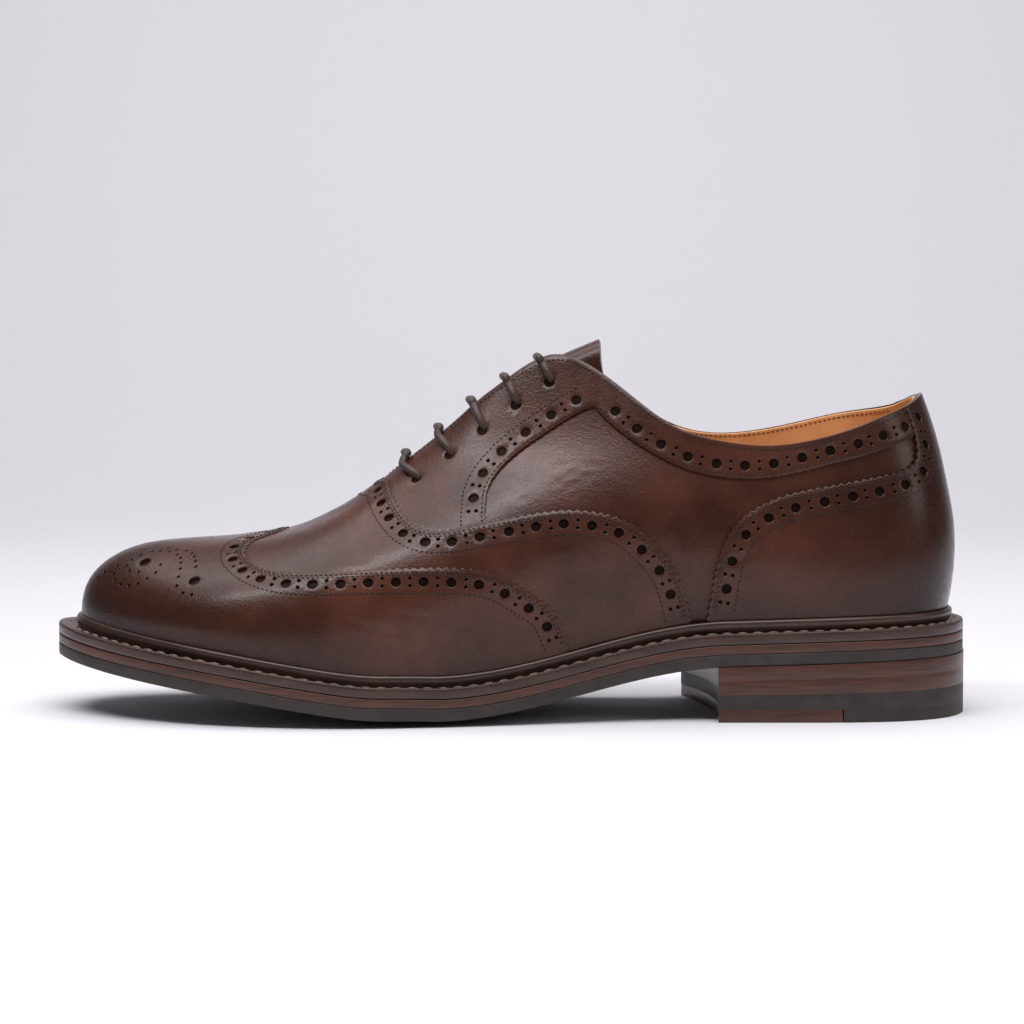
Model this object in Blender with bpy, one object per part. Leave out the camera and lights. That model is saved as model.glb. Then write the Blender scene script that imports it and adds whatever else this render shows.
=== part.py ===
"""Left oxford shoe with a wingtip toe, a storm welt, a double sole and a stacked heel.

Metres, +Z up. The toe points to -X, the outer side of the foot is -Y and the
sole rests on z = 0. Every curved piece comes from one description of the upper:
nine ribs a side, each run from the welt up to the opening.
"""

import bmesh
import bpy
import numpy as np
from mathutils import Matrix, Vector

# Main sizes
LENGTH = 0.305
BALL_WIDTH = 0.104
HEIGHT = 0.120
HEEL_HEIGHT = 0.0178
HEEL_LENGTH = 0.085
HEEL_SLANT = 0.008
HEEL_BOW = 0.004
TOP_PIECE_LENGTH = 0.044
TOE_SPRING = 0.0184

# Thicknesses
WALL = 0.0020
LAYER = 0.0013
LIFT = 0.0005
INSET = 0.0014
OUTSOLE = 0.0041
MIDSOLE = 0.0030
WELT = 0.0035
INSOLE = 0.0042
TONGUE = 0.0024
TOP_PIECE = 0.0042
CROWN = 0.0026
WELT_WIDTH = 0.0079
RIDGE = 0.0042
LACE = 0.0027
GAP = 0.0003

STACK = OUTSOLE + MIDSOLE + WELT

# Back and front end of the ribs, as shares of LENGTH, for six heights on a rib
# columns: back x, front x
ENDS = (
    (0.478, -0.474), (0.486, -0.465), (0.487, -0.416),
    (0.479, -0.338), (0.467, -0.236), (0.451, -0.140),
)

# One row a rib, heel seam first and toe centre last, as shares of HEIGHT
# columns: welt, 1/5, 2/5, 3/5, 4/5 of the rib, opening
HEIGHTS = (
    (0.258, 0.383, 0.512, 0.637, 0.767, 0.887),
    (0.258, 0.383, 0.504, 0.625, 0.746, 0.854),
    (0.250, 0.367, 0.483, 0.600, 0.708, 0.812),
    (0.225, 0.342, 0.463, 0.579, 0.679, 0.765),
    (0.146, 0.263, 0.408, 0.571, 0.742, 0.825),
    (0.117, 0.233, 0.367, 0.521, 0.729, 1.008),
    (0.171, 0.279, 0.375, 0.454, 0.617, 0.836),
    (0.212, 0.329, 0.411, 0.465, 0.535, 0.703),
    (0.237, 0.362, 0.452, 0.479, 0.518, 0.650),
)

# Distance from the middle plane on the outer side, as shares of BALL_WIDTH
OUTER = (
    (0.000, 0.000, 0.000, 0.000, 0.000, 0.000),
    (0.216, 0.236, 0.231, 0.207, 0.178, 0.154),
    (0.288, 0.312, 0.308, 0.284, 0.260, 0.255),
    (0.293, 0.322, 0.332, 0.312, 0.279, 0.269),
    (0.356, 0.380, 0.389, 0.361, 0.274, 0.240),
    (0.428, 0.442, 0.423, 0.341, 0.212, 0.106),
    (0.351, 0.375, 0.346, 0.288, 0.168, 0.077),
    (0.152, 0.163, 0.154, 0.125, 0.087, 0.048),
    (-0.053, -0.053, -0.048, -0.038, -0.019, 0.000),
)

# The same on the inner side, where the toe and the ball lean over
INNER = (
    (0.000, 0.000, 0.000, 0.000, 0.000, 0.000),
    (0.216, 0.236, 0.231, 0.207, 0.178, 0.154),
    (0.284, 0.308, 0.308, 0.284, 0.264, 0.255),
    (0.264, 0.303, 0.322, 0.312, 0.284, 0.269),
    (0.269, 0.317, 0.346, 0.332, 0.269, 0.240),
    (0.418, 0.438, 0.413, 0.327, 0.212, 0.106),
    (0.346, 0.370, 0.361, 0.308, 0.178, 0.077),
    (0.258, 0.260, 0.240, 0.192, 0.125, 0.048),
    (0.053, 0.053, 0.048, 0.038, 0.019, 0.000),
)

# Where the opening ends on the ribs, 16 steps from heel seam to toe centre
TOP_OUTER = (
    1.000, 1.003, 1.000, 0.987, 0.960, 0.951, 0.961, 0.995, 1.011,
    1.003, 0.987, 0.965, 1.000, 1.020, 1.000, 1.000, 1.000,
)
TOP_INNER = (
    1.000, 1.003, 1.000, 0.998, 0.996, 0.995, 1.000, 1.008, 1.011,
    1.003, 0.987, 0.965, 1.000, 1.020, 1.000, 1.000, 1.000,
)

# Width of the welt on the ribs, as shares of WELT_WIDTH
WELT_OUTER = (0.77, 0.76, 0.73, 0.74, 0.86, 0.99, 1.00, 1.00, 1.00)
WELT_INNER = (0.77, 0.76, 0.73, 0.72, 0.76, 0.96, 1.00, 1.00, 1.00)

# Panel edges, columns: s (0 heel seam, 1 toe centre), v (0 welt, 1 opening)
WING_EDGE = (
    (0.463, 0.100), (0.472, 0.192), (0.484, 0.264), (0.500, 0.320),
    (0.519, 0.375), (0.539, 0.419), (0.564, 0.448), (0.600, 0.466),
    (0.650, 0.480), (0.717, 0.482), (0.750, 0.495), (0.800, 0.542),
    (0.842, 0.595), (0.880, 0.655), (0.923, 0.725), (1.000, 0.775),
)
VAMP_EDGE = (
    (0.372, 0.100), (0.380, 0.199), (0.389, 0.285), (0.402, 0.370),
    (0.417, 0.442), (0.433, 0.503), (0.451, 0.553), (0.471, 0.585),
    (0.505, 0.608), (0.551, 0.601), (0.615, 0.593), (0.634, 0.608),
    (0.658, 0.645), (0.691, 0.704), (0.738, 0.782), (0.790, 0.860),
    (0.835, 0.912), (0.900, 0.955), (1.000, 0.985),
)
FACING_EDGE = (
    (0.130, 0.852), (0.195, 0.831), (0.274, 0.810), (0.306, 0.799),
    (0.336, 0.781), (0.364, 0.771), (0.390, 0.766), (0.417, 0.769),
    (0.446, 0.787), (0.478, 0.823), (0.515, 0.874), (0.554, 0.921),
    (0.567, 0.880), (0.578, 0.843), (0.590, 0.800), (0.602, 0.720),
    (0.607, 0.620),
)
COUNTER_EDGE = (
    (0.1220, 1.000), (0.1245, 0.861), (0.128, 0.770), (0.136, 0.735),
    (0.157, 0.704), (0.184, 0.694), (0.232, 0.685), (0.272, 0.677),
    (0.308, 0.664), (0.328, 0.639), (0.342, 0.595), (0.352, 0.535),
    (0.358, 0.447), (0.360, 0.332), (0.3605, 0.200), (0.361, 0.100),
)
# Lowest line of the panels, just above the ridge of the welt
PANEL_FOOT = 0.079
# Seam between neighbouring panels, in the same shares
SEAM_S = 0.0025
SEAM_V = 0.010

# Eyelets of the outer side from the toe end, columns: s, share of the rib
EYELETS = ((0.722, 0.824), (0.692, 0.872), (0.663, 0.892), (0.635, 0.916), (0.609, 0.950))

# Profile of the welt, as shares: out from the upper of WELT_WIDTH for the flat
# part and of RIDGE for the ridge, up from the top of the midsole
FLAT = ((-0.43, 0.0), (1.0, 0.0), (1.0, 0.72), (0.90, 1.0), (0.55, 1.0))
BEAD = ((0.74, 0.02), (0.62, 0.42), (0.70, 0.70), (0.52, 0.94), (0.24, 1.0))


def curve(knots, t, closed):
    """Points of a smooth curve through evenly spaced knots, t from 0 to 1."""
    p = np.asarray(knots, float)
    n = len(p)
    m = 4 * np.eye(n) + np.eye(n, k=1) + np.eye(n, k=-1)
    if closed:
        m[0, -1] = 1
        m[-1, 0] = 1
        rhs = 6 * (np.roll(p, 1, 0) - 2 * p + np.roll(p, -1, 0))
    else:
        m[0] = 0
        m[-1] = 0
        m[0, 0] = 1
        m[-1, -1] = 1
        rhs = np.zeros_like(p)
        rhs[1:-1] = 6 * (p[:-2] - 2 * p[1:-1] + p[2:])
    bend = np.linalg.solve(m, rhs.reshape(n, -1)).reshape(p.shape)
    if closed:
        p = np.concatenate([p, p[:1]])
        bend = np.concatenate([bend, bend[:1]])
        t = np.mod(t, 1.0)
    w = t * (len(p) - 1)
    i = np.clip(np.floor(w).astype(int), 0, len(p) - 2)
    u = (w - i)[:, None]
    straight = (1 - u) * p[i] + u * p[i + 1]
    return straight + ((1 - u) ** 3 - 1 + u) * bend[i] / 6 + (u ** 3 - u) * bend[i + 1] / 6


def both(outer, inner):
    """Knots round the shoe, from the heel seam by the outer side and back."""
    return list(outer) + list(inner)[-2:0:-1]


def bottom(x, y):
    """Height of the underside of the outsole: heel rise, flat, toe spring, crown."""
    front = -0.138 * LENGTH - x
    soft = 0.05 * LENGTH
    slope = TOE_SPRING / (0.31 * LENGTH)
    toe = slope * (np.sqrt(np.maximum(front, 0) ** 2 + soft ** 2) - soft)
    back = x + 0.082 * LENGTH
    r = np.clip(back / (0.311 * LENGTH), 0, 1)
    heel = 0.855 * HEEL_HEIGHT * r * r * (3 - 2 * r) + 0.03 * np.maximum(back, 0)
    side = np.clip((np.abs(y) / (0.5 * BALL_WIDTH) - 0.30) / 0.70, 0, 1.2)
    fade = 1 - np.clip((x + 0.1 * LENGTH) / (0.3 * LENGTH), 0, 1)
    return toe + heel + CROWN * fade * side ** 2


def surface(s, v):
    """Point of the finished shoe's skin; the base layer lies INSET inside it."""
    t = (1 - np.cos(np.pi * s)) / 2
    rows = []
    for j, (back, front) in enumerate(ENDS):
        x = LENGTH * (back + (front - back) * t)
        y = both([-BALL_WIDTH * r[j] for r in OUTER], [BALL_WIDTH * r[j] for r in INNER])
        z = both([HEIGHT * r[j] for r in HEIGHTS], [HEIGHT * r[j] for r in HEIGHTS])
        yz = curve(np.array([y, z]).T, s / 2, True)
        if j == 0:
            yz[:, 1] = bottom(x, yz[:, 0]) + STACK + GAP
        rows.append(np.column_stack([x, yz]))
    p = np.array(rows)
    n = len(p)
    m = 4 * np.eye(n) + np.eye(n, k=1) + np.eye(n, k=-1)
    m[0] = 0
    m[-1] = 0
    m[0, 0] = 1
    m[-1, -1] = 1
    rhs = np.zeros_like(p)
    rhs[1:-1] = 6 * (p[:-2] - 2 * p[1:-1] + p[2:])
    bend = np.linalg.solve(m, rhs.reshape(n, -1)).reshape(p.shape)
    w = v * (n - 1)
    i = np.clip(np.floor(w).astype(int), 0, n - 2)
    u = (w - i)[:, None]
    k = np.arange(len(s))
    straight = (1 - u) * p[i, k] + u * p[i + 1, k]
    return straight + ((1 - u) ** 3 - 1 + u) * bend[i, k] / 6 + (u ** 3 - u) * bend[i + 1, k] / 6


def skin(s, v, off):
    """Point at the height off over the base layer's outer face."""
    e = 1e-4
    ds = surface(s + e, v) - surface(s - e, v)
    dv = surface(s, v + e) - surface(s, v - e)
    n = np.cross(dv, ds)
    n /= np.linalg.norm(n, axis=1)[:, None]
    return surface(s, v) + n * (off - INSET)[:, None]


def top(s):
    """Rib share at which the opening lies."""
    return curve(np.array(both(TOP_OUTER, TOP_INNER))[:, None], s / 2, True)[:, 0]


def edge(table, s):
    """Rib share of a panel edge, the same on both sides."""
    s = np.abs(np.mod(s + 1, 2) - 1)
    columns = np.array(table).T
    return np.interp(s, columns[0], columns[1])


def outline(s, out):
    """Plan outline at the welt's level, out from the upper."""
    e = 1e-4
    foot = np.zeros(len(s))
    d = (surface(s + e, foot) - surface(s - e, foot))[:, :2]
    n = np.column_stack([d[:, 1], -d[:, 0]])
    n /= np.linalg.norm(n, axis=1)[:, None]
    return surface(s, foot)[:, :2] - n * out[:, None]


def sole_edge(s):
    """Plan outline of the sole."""
    width = curve(np.array(both(WELT_OUTER, WELT_INNER))[:, None], s / 2, True)[:, 0]
    return outline(s, WELT_WIDTH * width)


COLLECTION = bpy.data.collections.new("wingtip_oxford_shoe")
CUTTERS = bpy.data.collections.new("patterns")


def material(name, colour, roughness):
    """Principled material."""
    m = bpy.data.materials.new(name)
    m.use_nodes = True
    shader = m.node_tree.nodes["Principled BSDF"]
    shader.inputs["Base Color"].default_value = (*colour, 1)
    shader.inputs["Roughness"].default_value = roughness
    shader.inputs["Metallic"].default_value = 0
    return m


def add(name, mesh, mat):
    """Object in the shoe's collection."""
    mesh.materials.clear()
    mesh.materials.append(mat)
    ob = bpy.data.objects.new(name, mesh)
    COLLECTION.objects.link(ob)
    return ob


def shaped(name, columns, rows, place, mat, closed=False):
    """A grid block, columns x rows x 1, bent into shape by place(a, b, c)."""
    bm = bmesh.new()
    bmesh.ops.create_grid(bm, x_segments=columns, y_segments=rows, size=0.5)
    made = bmesh.ops.extrude_face_region(bm, geom=bm.faces[:])["geom"]
    for v in made:
        if isinstance(v, bmesh.types.BMVert):
            v.co.z = 1
    if closed:
        ends = [f for f in bm.faces if abs(abs(f.calc_center_median().x) - 0.5) < 1e-6]
        bmesh.ops.delete(bm, geom=ends, context="FACES_ONLY")
    co = np.array([v.co for v in bm.verts]) + (0.5, 0.5, 0)
    new = place(co[:, 0], co[:, 1], co[:, 2])
    for v, p in zip(bm.verts, new):
        v.co = p
    bmesh.ops.remove_doubles(bm, verts=bm.verts, dist=0.00003)
    bmesh.ops.dissolve_degenerate(bm, edges=bm.edges, dist=0.00001)
    bmesh.ops.triangulate(bm, faces=bm.faces)
    bmesh.ops.recalc_face_normals(bm, faces=bm.faces)
    mesh = bpy.data.meshes.new(name)
    bm.to_mesh(mesh)
    bm.free()
    return add(name, mesh, mat)


def upper(mat):
    """The base layer: one wall, open at the top and below."""

    def place(a, b, c):
        s = 2 * a
        return skin(s, b * top(s), -WALL * c)

    return shaped("upper", 64, 10, place, mat, closed=True)


def flat_block(name, s_span, v_span, cells):
    """A flat block of leather, gridded, in (s, v, depth) space."""
    bm = bmesh.new()
    bmesh.ops.create_grid(bm, x_segments=cells[0], y_segments=cells[1], size=0.5)
    made = bmesh.ops.extrude_face_region(bm, geom=bm.faces[:])["geom"]
    for v in made:
        if isinstance(v, bmesh.types.BMVert):
            v.co.z = 1
    for v in bm.verts:
        v.co.x = s_span[0] + (s_span[1] - s_span[0]) * (v.co.x + 0.5)
        v.co.y = v_span[0] + (v_span[1] - v_span[0]) * (v.co.y + 0.5)
    bmesh.ops.recalc_face_normals(bm, faces=bm.faces)
    mesh = bpy.data.meshes.new(name)
    bm.to_mesh(mesh)
    bm.free()
    return bpy.data.objects.new(name, mesh)


def flat_cutter(name, points):
    """A prism with the pattern's outline, in the same space."""
    bm = bmesh.new()
    face = bm.faces.new([bm.verts.new((s, v, -1)) for s, v in points])
    made = bmesh.ops.extrude_face_region(bm, geom=[face])["geom"]
    for v in made:
        if isinstance(v, bmesh.types.BMVert):
            v.co.z = 2
    bmesh.ops.recalc_face_normals(bm, faces=bm.faces)
    mesh = bpy.data.meshes.new(name)
    bm.to_mesh(mesh)
    bm.free()
    return bpy.data.objects.new(name, mesh)


def panel(name, pattern, cells, mat):
    """A leather panel: cut flat to its pattern, then laid over the upper.

    The pattern's points are (s, share of the rib up to the opening).
    """
    s, v = np.array(pattern).T
    block = flat_block(name, (s.min() - 0.01, s.max() + 0.01), (v.min() - 0.02, v.max()), cells)
    cutter = flat_cutter(name + "_pattern", pattern)
    CUTTERS.objects.link(cutter)
    cutter.hide_render = True
    cutter.display_type = "WIRE"
    bpy.context.scene.collection.objects.link(block)
    cut = block.modifiers.new("cut", "BOOLEAN")
    cut.operation = "INTERSECT"
    cut.object = cutter
    graph = bpy.context.evaluated_depsgraph_get()
    mesh = bpy.data.meshes.new_from_object(block.evaluated_get(graph))
    bpy.data.objects.remove(block)
    bm = bmesh.new()
    bm.from_mesh(mesh)
    bmesh.ops.triangulate(bm, faces=bm.faces)
    co = np.array([v.co for v in bm.verts], float)
    new = skin(co[:, 0], co[:, 1] * top(co[:, 0]), LIFT + LAYER * co[:, 2])
    for v, p in zip(bm.verts, new):
        v.co = p
    bmesh.ops.remove_doubles(bm, verts=bm.verts, dist=0.00003)
    bmesh.ops.dissolve_degenerate(bm, edges=bm.edges, dist=0.00001)
    bmesh.ops.triangulate(bm, faces=bm.faces)
    bmesh.ops.recalc_face_normals(bm, faces=bm.faces)
    bm.to_mesh(mesh)
    bm.free()
    mesh.name = name
    return add(name, mesh, mat)


def slab(name, rim, low, high, columns, rows, mat, ends=(1.0, 1.0), starts=(0.0, 0.0), bow=0.0):
    """A layer of the sole: from starts to ends on the outer and the inner side."""

    def place(a, b, c):
        left = rim(starts[0] + a * (ends[0] - starts[0]))
        right = rim(2 - starts[1] - a * (ends[1] - starts[1]))
        xy = left + (right - left) * b[:, None]
        xy[:, 0] += bow * 4 * b * (1 - b) * a ** 4
        z = np.where(c < 0.5, low(*xy.T), high(*xy.T))
        return np.column_stack([xy, z])

    return shaped(name, columns, rows, place, mat)


def welt(mat):
    """The storm welt: a flat strip with a ridge that stands against the upper."""
    reach = [(WELT_WIDTH * a, WELT * h, False) for a, h in FLAT]
    inner = GAP - INSET
    reach += [(inner + RIDGE * a, WELT + RIDGE * h, True) for a, h in BEAD]
    reach += [(inner, WELT + RIDGE * 0.85, True), (inner, WELT, True)]
    reach += [reach[0]]
    count = len(reach) - 1

    def place(a, b, c):
        s = 2 * a
        i = np.rint(b * count).astype(int)
        out = np.array([r[0] for r in reach])[i]
        up = np.array([r[1] for r in reach])[i]
        ridge = np.array([r[2] for r in reach])[i]
        width = curve(np.array(both(WELT_OUTER, WELT_INNER))[:, None], s / 2, True)[:, 0]
        flat = np.where(out < 0, out, out * width)
        foot = outline(s, np.where(ridge, out, flat))
        v = 0.2 * np.clip(up - WELT, 0, 1) / 0.014
        lean = surface(s, v)[:, :2] - surface(s, 0 * v)[:, :2]
        foot += lean * ridge[:, None]
        z = bottom(*foot.T) + OUTSOLE + MIDSOLE + GAP + up
        z -= np.where(ridge & (up > WELT), GAP, 0)
        return np.column_stack([foot, z])

    bm = bmesh.new()
    bmesh.ops.create_grid(bm, x_segments=64, y_segments=count, size=0.5)
    co = np.array([v.co for v in bm.verts]) + (0.5, 0.5, 0)
    for v, p in zip(bm.verts, place(co[:, 0], co[:, 1], co[:, 2])):
        v.co = p
    bmesh.ops.remove_doubles(bm, verts=bm.verts, dist=0.00003)
    bmesh.ops.triangulate(bm, faces=bm.faces)
    bmesh.ops.recalc_face_normals(bm, faces=bm.faces)
    mesh = bpy.data.meshes.new("welt")
    bm.to_mesh(mesh)
    bm.free()
    return add("welt", mesh, mat)


def heel(stacked, rubber):
    """Stacked lifts on a rubber pad, and a rubber top piece with a leather front."""

    def rim(s):
        width = curve(np.array(both(WELT_OUTER, WELT_INNER))[:, None], s / 2, True)[:, 0]
        return outline(s, WELT_WIDTH * width - 2 * GAP)

    def reach(x):
        s = np.linspace(0, 0.6, 400)
        return (np.interp(-x, -rim(s)[:, 0], s), np.interp(-x, -rim(2 - s)[:, 0], s))

    def share(part, gap):
        def height(x, y):
            return bottom(x, y) * part + gap

        return height

    def flat(z):
        def height(x, y):
            return np.full(len(x), z)

        return height

    back = rim(np.zeros(1))[0, 0]
    outer, inner = reach(back - HEEL_LENGTH)[0], reach(back - HEEL_LENGTH - HEEL_SLANT)[1]
    ends = (outer, inner)
    cut = reach(back - TOP_PIECE_LENGTH)
    bow = HEEL_BOW
    slab("heel_lift_upper", rim, share(0.75, GAP), share(1, -GAP), 12, 4, stacked, ends, bow=bow)
    slab("heel_lift_lower", rim, share(0.50, GAP), share(0.75, 0), 12, 4, stacked, ends, bow=bow)
    pad = flat(TOP_PIECE + GAP)
    slab("heel_pad", rim, pad, share(0.50, 0), 12, 4, rubber, ends, bow=bow)
    slab("top_piece", rim, flat(0), flat(TOP_PIECE), 12, 4, rubber, cut)
    starts = reach(back - TOP_PIECE_LENGTH - GAP)
    slab("top_piece_front", rim, flat(0), flat(TOP_PIECE), 6, 4, stacked, ends, starts, bow)


def lace(name, s, v, mat):
    """One bar of the lacing, from the outer eyelet over the slit to the inner."""
    rise = np.array([v, 0.5 * (v + 1.0), 1.0]) * top(np.full(3, s))
    off = LIFT + LAYER + 2 * GAP + LACE * np.array([0.5, 0.6, 0.9])
    left = skin(np.full(3, s), rise, off)
    right = skin(np.full(3, 2 - s), rise, off)[::-1]
    over = 0.5 * (left[-1:] + right[:1])
    over += (over - 0.5 * (left[:1] + right[-1:])) * 0.1
    points = curve(np.concatenate([left, over, right]), np.linspace(0, 1, 15), False)
    data = bpy.data.curves.new(name, "CURVE")
    data.dimensions = "3D"
    data.bevel_depth = LACE / 2
    data.bevel_resolution = 2
    data.use_fill_caps = True
    spline = data.splines.new("POLY")
    spline.points.add(len(points) - 1)
    for knot, place in zip(spline.points, points):
        knot.co = (*place, 1)
    ob = bpy.data.objects.new(name + "_route", data)
    bpy.context.scene.collection.objects.link(ob)
    graph = bpy.context.evaluated_depsgraph_get()
    mesh = bpy.data.meshes.new_from_object(ob.evaluated_get(graph))
    bpy.data.objects.remove(ob)
    bm = bmesh.new()
    bm.from_mesh(mesh)
    bmesh.ops.remove_doubles(bm, verts=bm.verts, dist=0.00002)
    bmesh.ops.triangulate(bm, faces=bm.faces)
    bmesh.ops.recalc_face_normals(bm, faces=bm.faces)
    bm.to_mesh(mesh)
    bm.free()
    mesh.name = name
    return add(name, mesh, mat)


def tongue(mat):
    """Arched sheet under the opening of the facings, its tip past their tops."""
    inset = WALL + 3 * GAP

    def row(s, depth):
        one = np.ones(1)
        points = []
        for side, shares in ((1, (0.86, 0.93, 1.0)), (-1, (1.0, 0.93, 0.86))):
            for share in shares:
                at = one * s if side == 1 else one * (2 - s)
                sunk = inset + depth + 0.5 * WALL * (share - 0.86) / 0.14
                points.append(skin(at, share * top(at), -sunk * one)[0])
        return np.array(points)

    def place(a, b, c):
        out = []
        for i in range(len(a)):
            s = 0.975 - 0.35 * min(a[i] / 0.86, 1)
            p = row(s, TONGUE * c[i])
            far = max(a[i] - 0.86, 0) / 0.14
            p += np.array([0.017, 0, 0.001]) * far
            p[:, 1] *= 1 - 0.25 * far
            q = curve(p, np.array([b[i]]), False)[0]
            out.append(q)
        return np.array(out)

    return shaped("tongue", 14, 7, place, mat)


def settle():
    """Moves the shoe so that the middle of its box is over the origin."""
    co = np.array([v.co for ob in COLLECTION.objects for v in ob.data.vertices])
    low, high = co.min(axis=0), co.max(axis=0)
    shift = ((low[0] + high[0]) / 2, (low[1] + high[1]) / 2, low[2])
    for ob in COLLECTION.objects:
        ob.data.transform(Matrix.Translation(-Vector(shift)))
    return shift


def main():
    for ob in list(bpy.data.objects):
        bpy.data.objects.remove(ob, do_unlink=True)
    bpy.context.scene.collection.children.link(COLLECTION)
    bpy.context.scene.collection.children.link(CUTTERS)
    leather = material("brown_leather", (0.075, 0.030, 0.018), 0.35)
    dark = material("dark_leather", (0.050, 0.022, 0.014), 0.40)
    lining = material("tan_lining", (0.42, 0.20, 0.08), 0.60)
    stacked = material("stacked_leather", (0.095, 0.040, 0.024), 0.45)
    cord = material("waxed_cord", (0.10, 0.06, 0.045), 0.55)
    rubber = material("dark_rubber", (0.035, 0.030, 0.028), 0.60)

    upper(leather)

    def share(points):
        s, v = np.array(points).T
        return list(zip(s, v / top(s)))

    def mirrored(points):
        return [(2 - s, v) for s, v in points[::-1]]

    def moved(table, s, v):
        return [(a + s, b + v) for a, b in table]

    foot = [(WING_EDGE[0][0], PANEL_FOOT)]
    half = foot + share(WING_EDGE)
    panel("toe_cap", half + mirrored(half)[1:], (54, 9), leather)

    foot = [(WING_EDGE[0][0] - SEAM_S, PANEL_FOOT), (VAMP_EDGE[0][0], PANEL_FOOT)]
    inside = share(moved(WING_EDGE[:5], -SEAM_S, SEAM_V) + moved(WING_EDGE[5:], 0, SEAM_V))
    half = inside[::-1] + foot + share(VAMP_EDGE)
    panel("vamp", half + mirrored(half)[1:-1], (54, 10), leather)

    band = share(FACING_EDGE)
    front = share(moved([p for p in VAMP_EDGE if p[0] > 0.61 and p[0] < 0.95], 0, SEAM_V))
    front = [p for p in front if p[1] < 0.985]
    rim = [(s, 1.0) for s in np.linspace(front[-1][0] + 0.01, FACING_EDGE[0][0], 28)]
    side = band + front + rim
    panel("facing_outer", side, (36, 5), leather)
    panel("facing_inner", mirrored(side), (36, 5), leather)

    half = share(COUNTER_EDGE[1:])
    strip = COUNTER_EDGE[0][0]
    rim = [(s, 1.0) for s in np.linspace(strip, -strip, 9)]
    foot = [(COUNTER_EDGE[-1][0], PANEL_FOOT), (-COUNTER_EDGE[-1][0], PANEL_FOOT)]
    back = [(-s, v) for s, v in half[::-1]]
    panel("counter", half[::-1] + rim + back[::-1] + foot[::-1], (38, 10), leather)

    def low(x, y):
        return bottom(x, y)

    def level(up):
        def height(x, y):
            return bottom(x, y) + up

        return height

    slab("outsole", sole_edge, low, level(OUTSOLE), 32, 8, rubber)
    slab("midsole", sole_edge, level(OUTSOLE + GAP), level(OUTSOLE + MIDSOLE), 32, 8, stacked)
    welt(dark)

    def inner_edge(s):
        return outline(s, np.full(len(s), -(INSET + WALL + 3 * GAP)))

    base = OUTSOLE + MIDSOLE + GAP
    slab("insole", inner_edge, level(base), level(base + INSOLE), 24, 5, lining)

    tongue(lining)
    heel(stacked, rubber)
    for i, (s, v) in enumerate(EYELETS):
        lace("lace_bar_%d" % (i + 1), s, v, cord)
    settle()


main()
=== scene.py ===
"""A left wingtip oxford, built the way a shoemaker puts it together: upper,
punched panels, tongue and laces, then welt, sole and heel, and last the studio."""

import math

import bmesh
import bpy
import numpy as np
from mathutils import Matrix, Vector
from mathutils.geometry import delaunay_2d_cdt
from mathutils.kdtree import KDTree


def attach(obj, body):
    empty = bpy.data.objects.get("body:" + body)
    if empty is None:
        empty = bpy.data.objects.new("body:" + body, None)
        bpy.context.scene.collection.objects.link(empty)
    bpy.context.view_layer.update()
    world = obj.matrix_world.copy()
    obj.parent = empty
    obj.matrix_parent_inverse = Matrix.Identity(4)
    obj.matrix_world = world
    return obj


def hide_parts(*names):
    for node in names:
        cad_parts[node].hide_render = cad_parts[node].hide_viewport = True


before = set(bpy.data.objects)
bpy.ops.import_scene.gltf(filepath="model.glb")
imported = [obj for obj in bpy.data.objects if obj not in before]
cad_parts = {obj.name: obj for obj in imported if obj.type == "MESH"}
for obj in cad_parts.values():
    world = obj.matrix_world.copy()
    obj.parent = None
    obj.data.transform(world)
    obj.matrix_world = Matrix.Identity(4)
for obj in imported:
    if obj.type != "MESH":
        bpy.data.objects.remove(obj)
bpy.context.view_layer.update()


# Quarters and lining
# Thin calf closed over tan lining leather, pulled over the last and down under
# the welt. Both are hung on the last's form, which these tables describe: nine
# ribs a side run from welt to opening; s goes round the shoe from the heel seam
# (0) by the outer side to the toe (1) and back (2), v goes up a rib.
LENGTH, BALL_WIDTH, HEIGHT = 0.305, 0.104, 0.120
HEEL_HEIGHT, TOE_SPRING, CROWN = 0.0178, 0.0184, 0.0026
MIDDLE = np.array((0.0002985, 0.0004915, 0.0))
OUTSOLE, MIDSOLE, WELT, GAP = 0.0041, 0.0030, 0.0035, 0.0003
INSET = 0.0014

# columns: back x, front x, as shares of LENGTH, for six heights on a rib
ENDS = (
    (0.478, -0.4775), (0.486, -0.4685), (0.487, -0.4190),
    (0.479, -0.338), (0.467, -0.236), (0.451, -0.140),
)
# rows: ribs from heel seam to toe centre; columns: welt, four steps, opening
HEIGHTS = (
    (0.258, 0.383, 0.512, 0.637, 0.767, 0.887),
    (0.258, 0.383, 0.504, 0.625, 0.746, 0.854),
    (0.250, 0.367, 0.483, 0.600, 0.708, 0.812),
    (0.225, 0.342, 0.463, 0.579, 0.679, 0.765),
    (0.146, 0.263, 0.408, 0.571, 0.742, 0.825),
    (0.117, 0.233, 0.367, 0.521, 0.729, 1.008),
    (0.171, 0.279, 0.375, 0.454, 0.617, 0.836),
    (0.212, 0.329, 0.411, 0.465, 0.535, 0.703),
    (0.237, 0.362, 0.452, 0.479, 0.518, 0.650),
)
OUTER = (
    (0.000, 0.000, 0.000, 0.000, 0.000, 0.000),
    (0.216, 0.236, 0.231, 0.207, 0.178, 0.154),
    (0.288, 0.312, 0.308, 0.284, 0.260, 0.255),
    (0.293, 0.322, 0.332, 0.312, 0.279, 0.269),
    (0.356, 0.380, 0.389, 0.361, 0.274, 0.240),
    (0.428, 0.442, 0.423, 0.341, 0.212, 0.106),
    (0.351, 0.375, 0.346, 0.288, 0.168, 0.077),
    (0.152, 0.163, 0.154, 0.125, 0.087, 0.048),
    (-0.053, -0.053, -0.048, -0.038, -0.019, 0.000),
)
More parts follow.
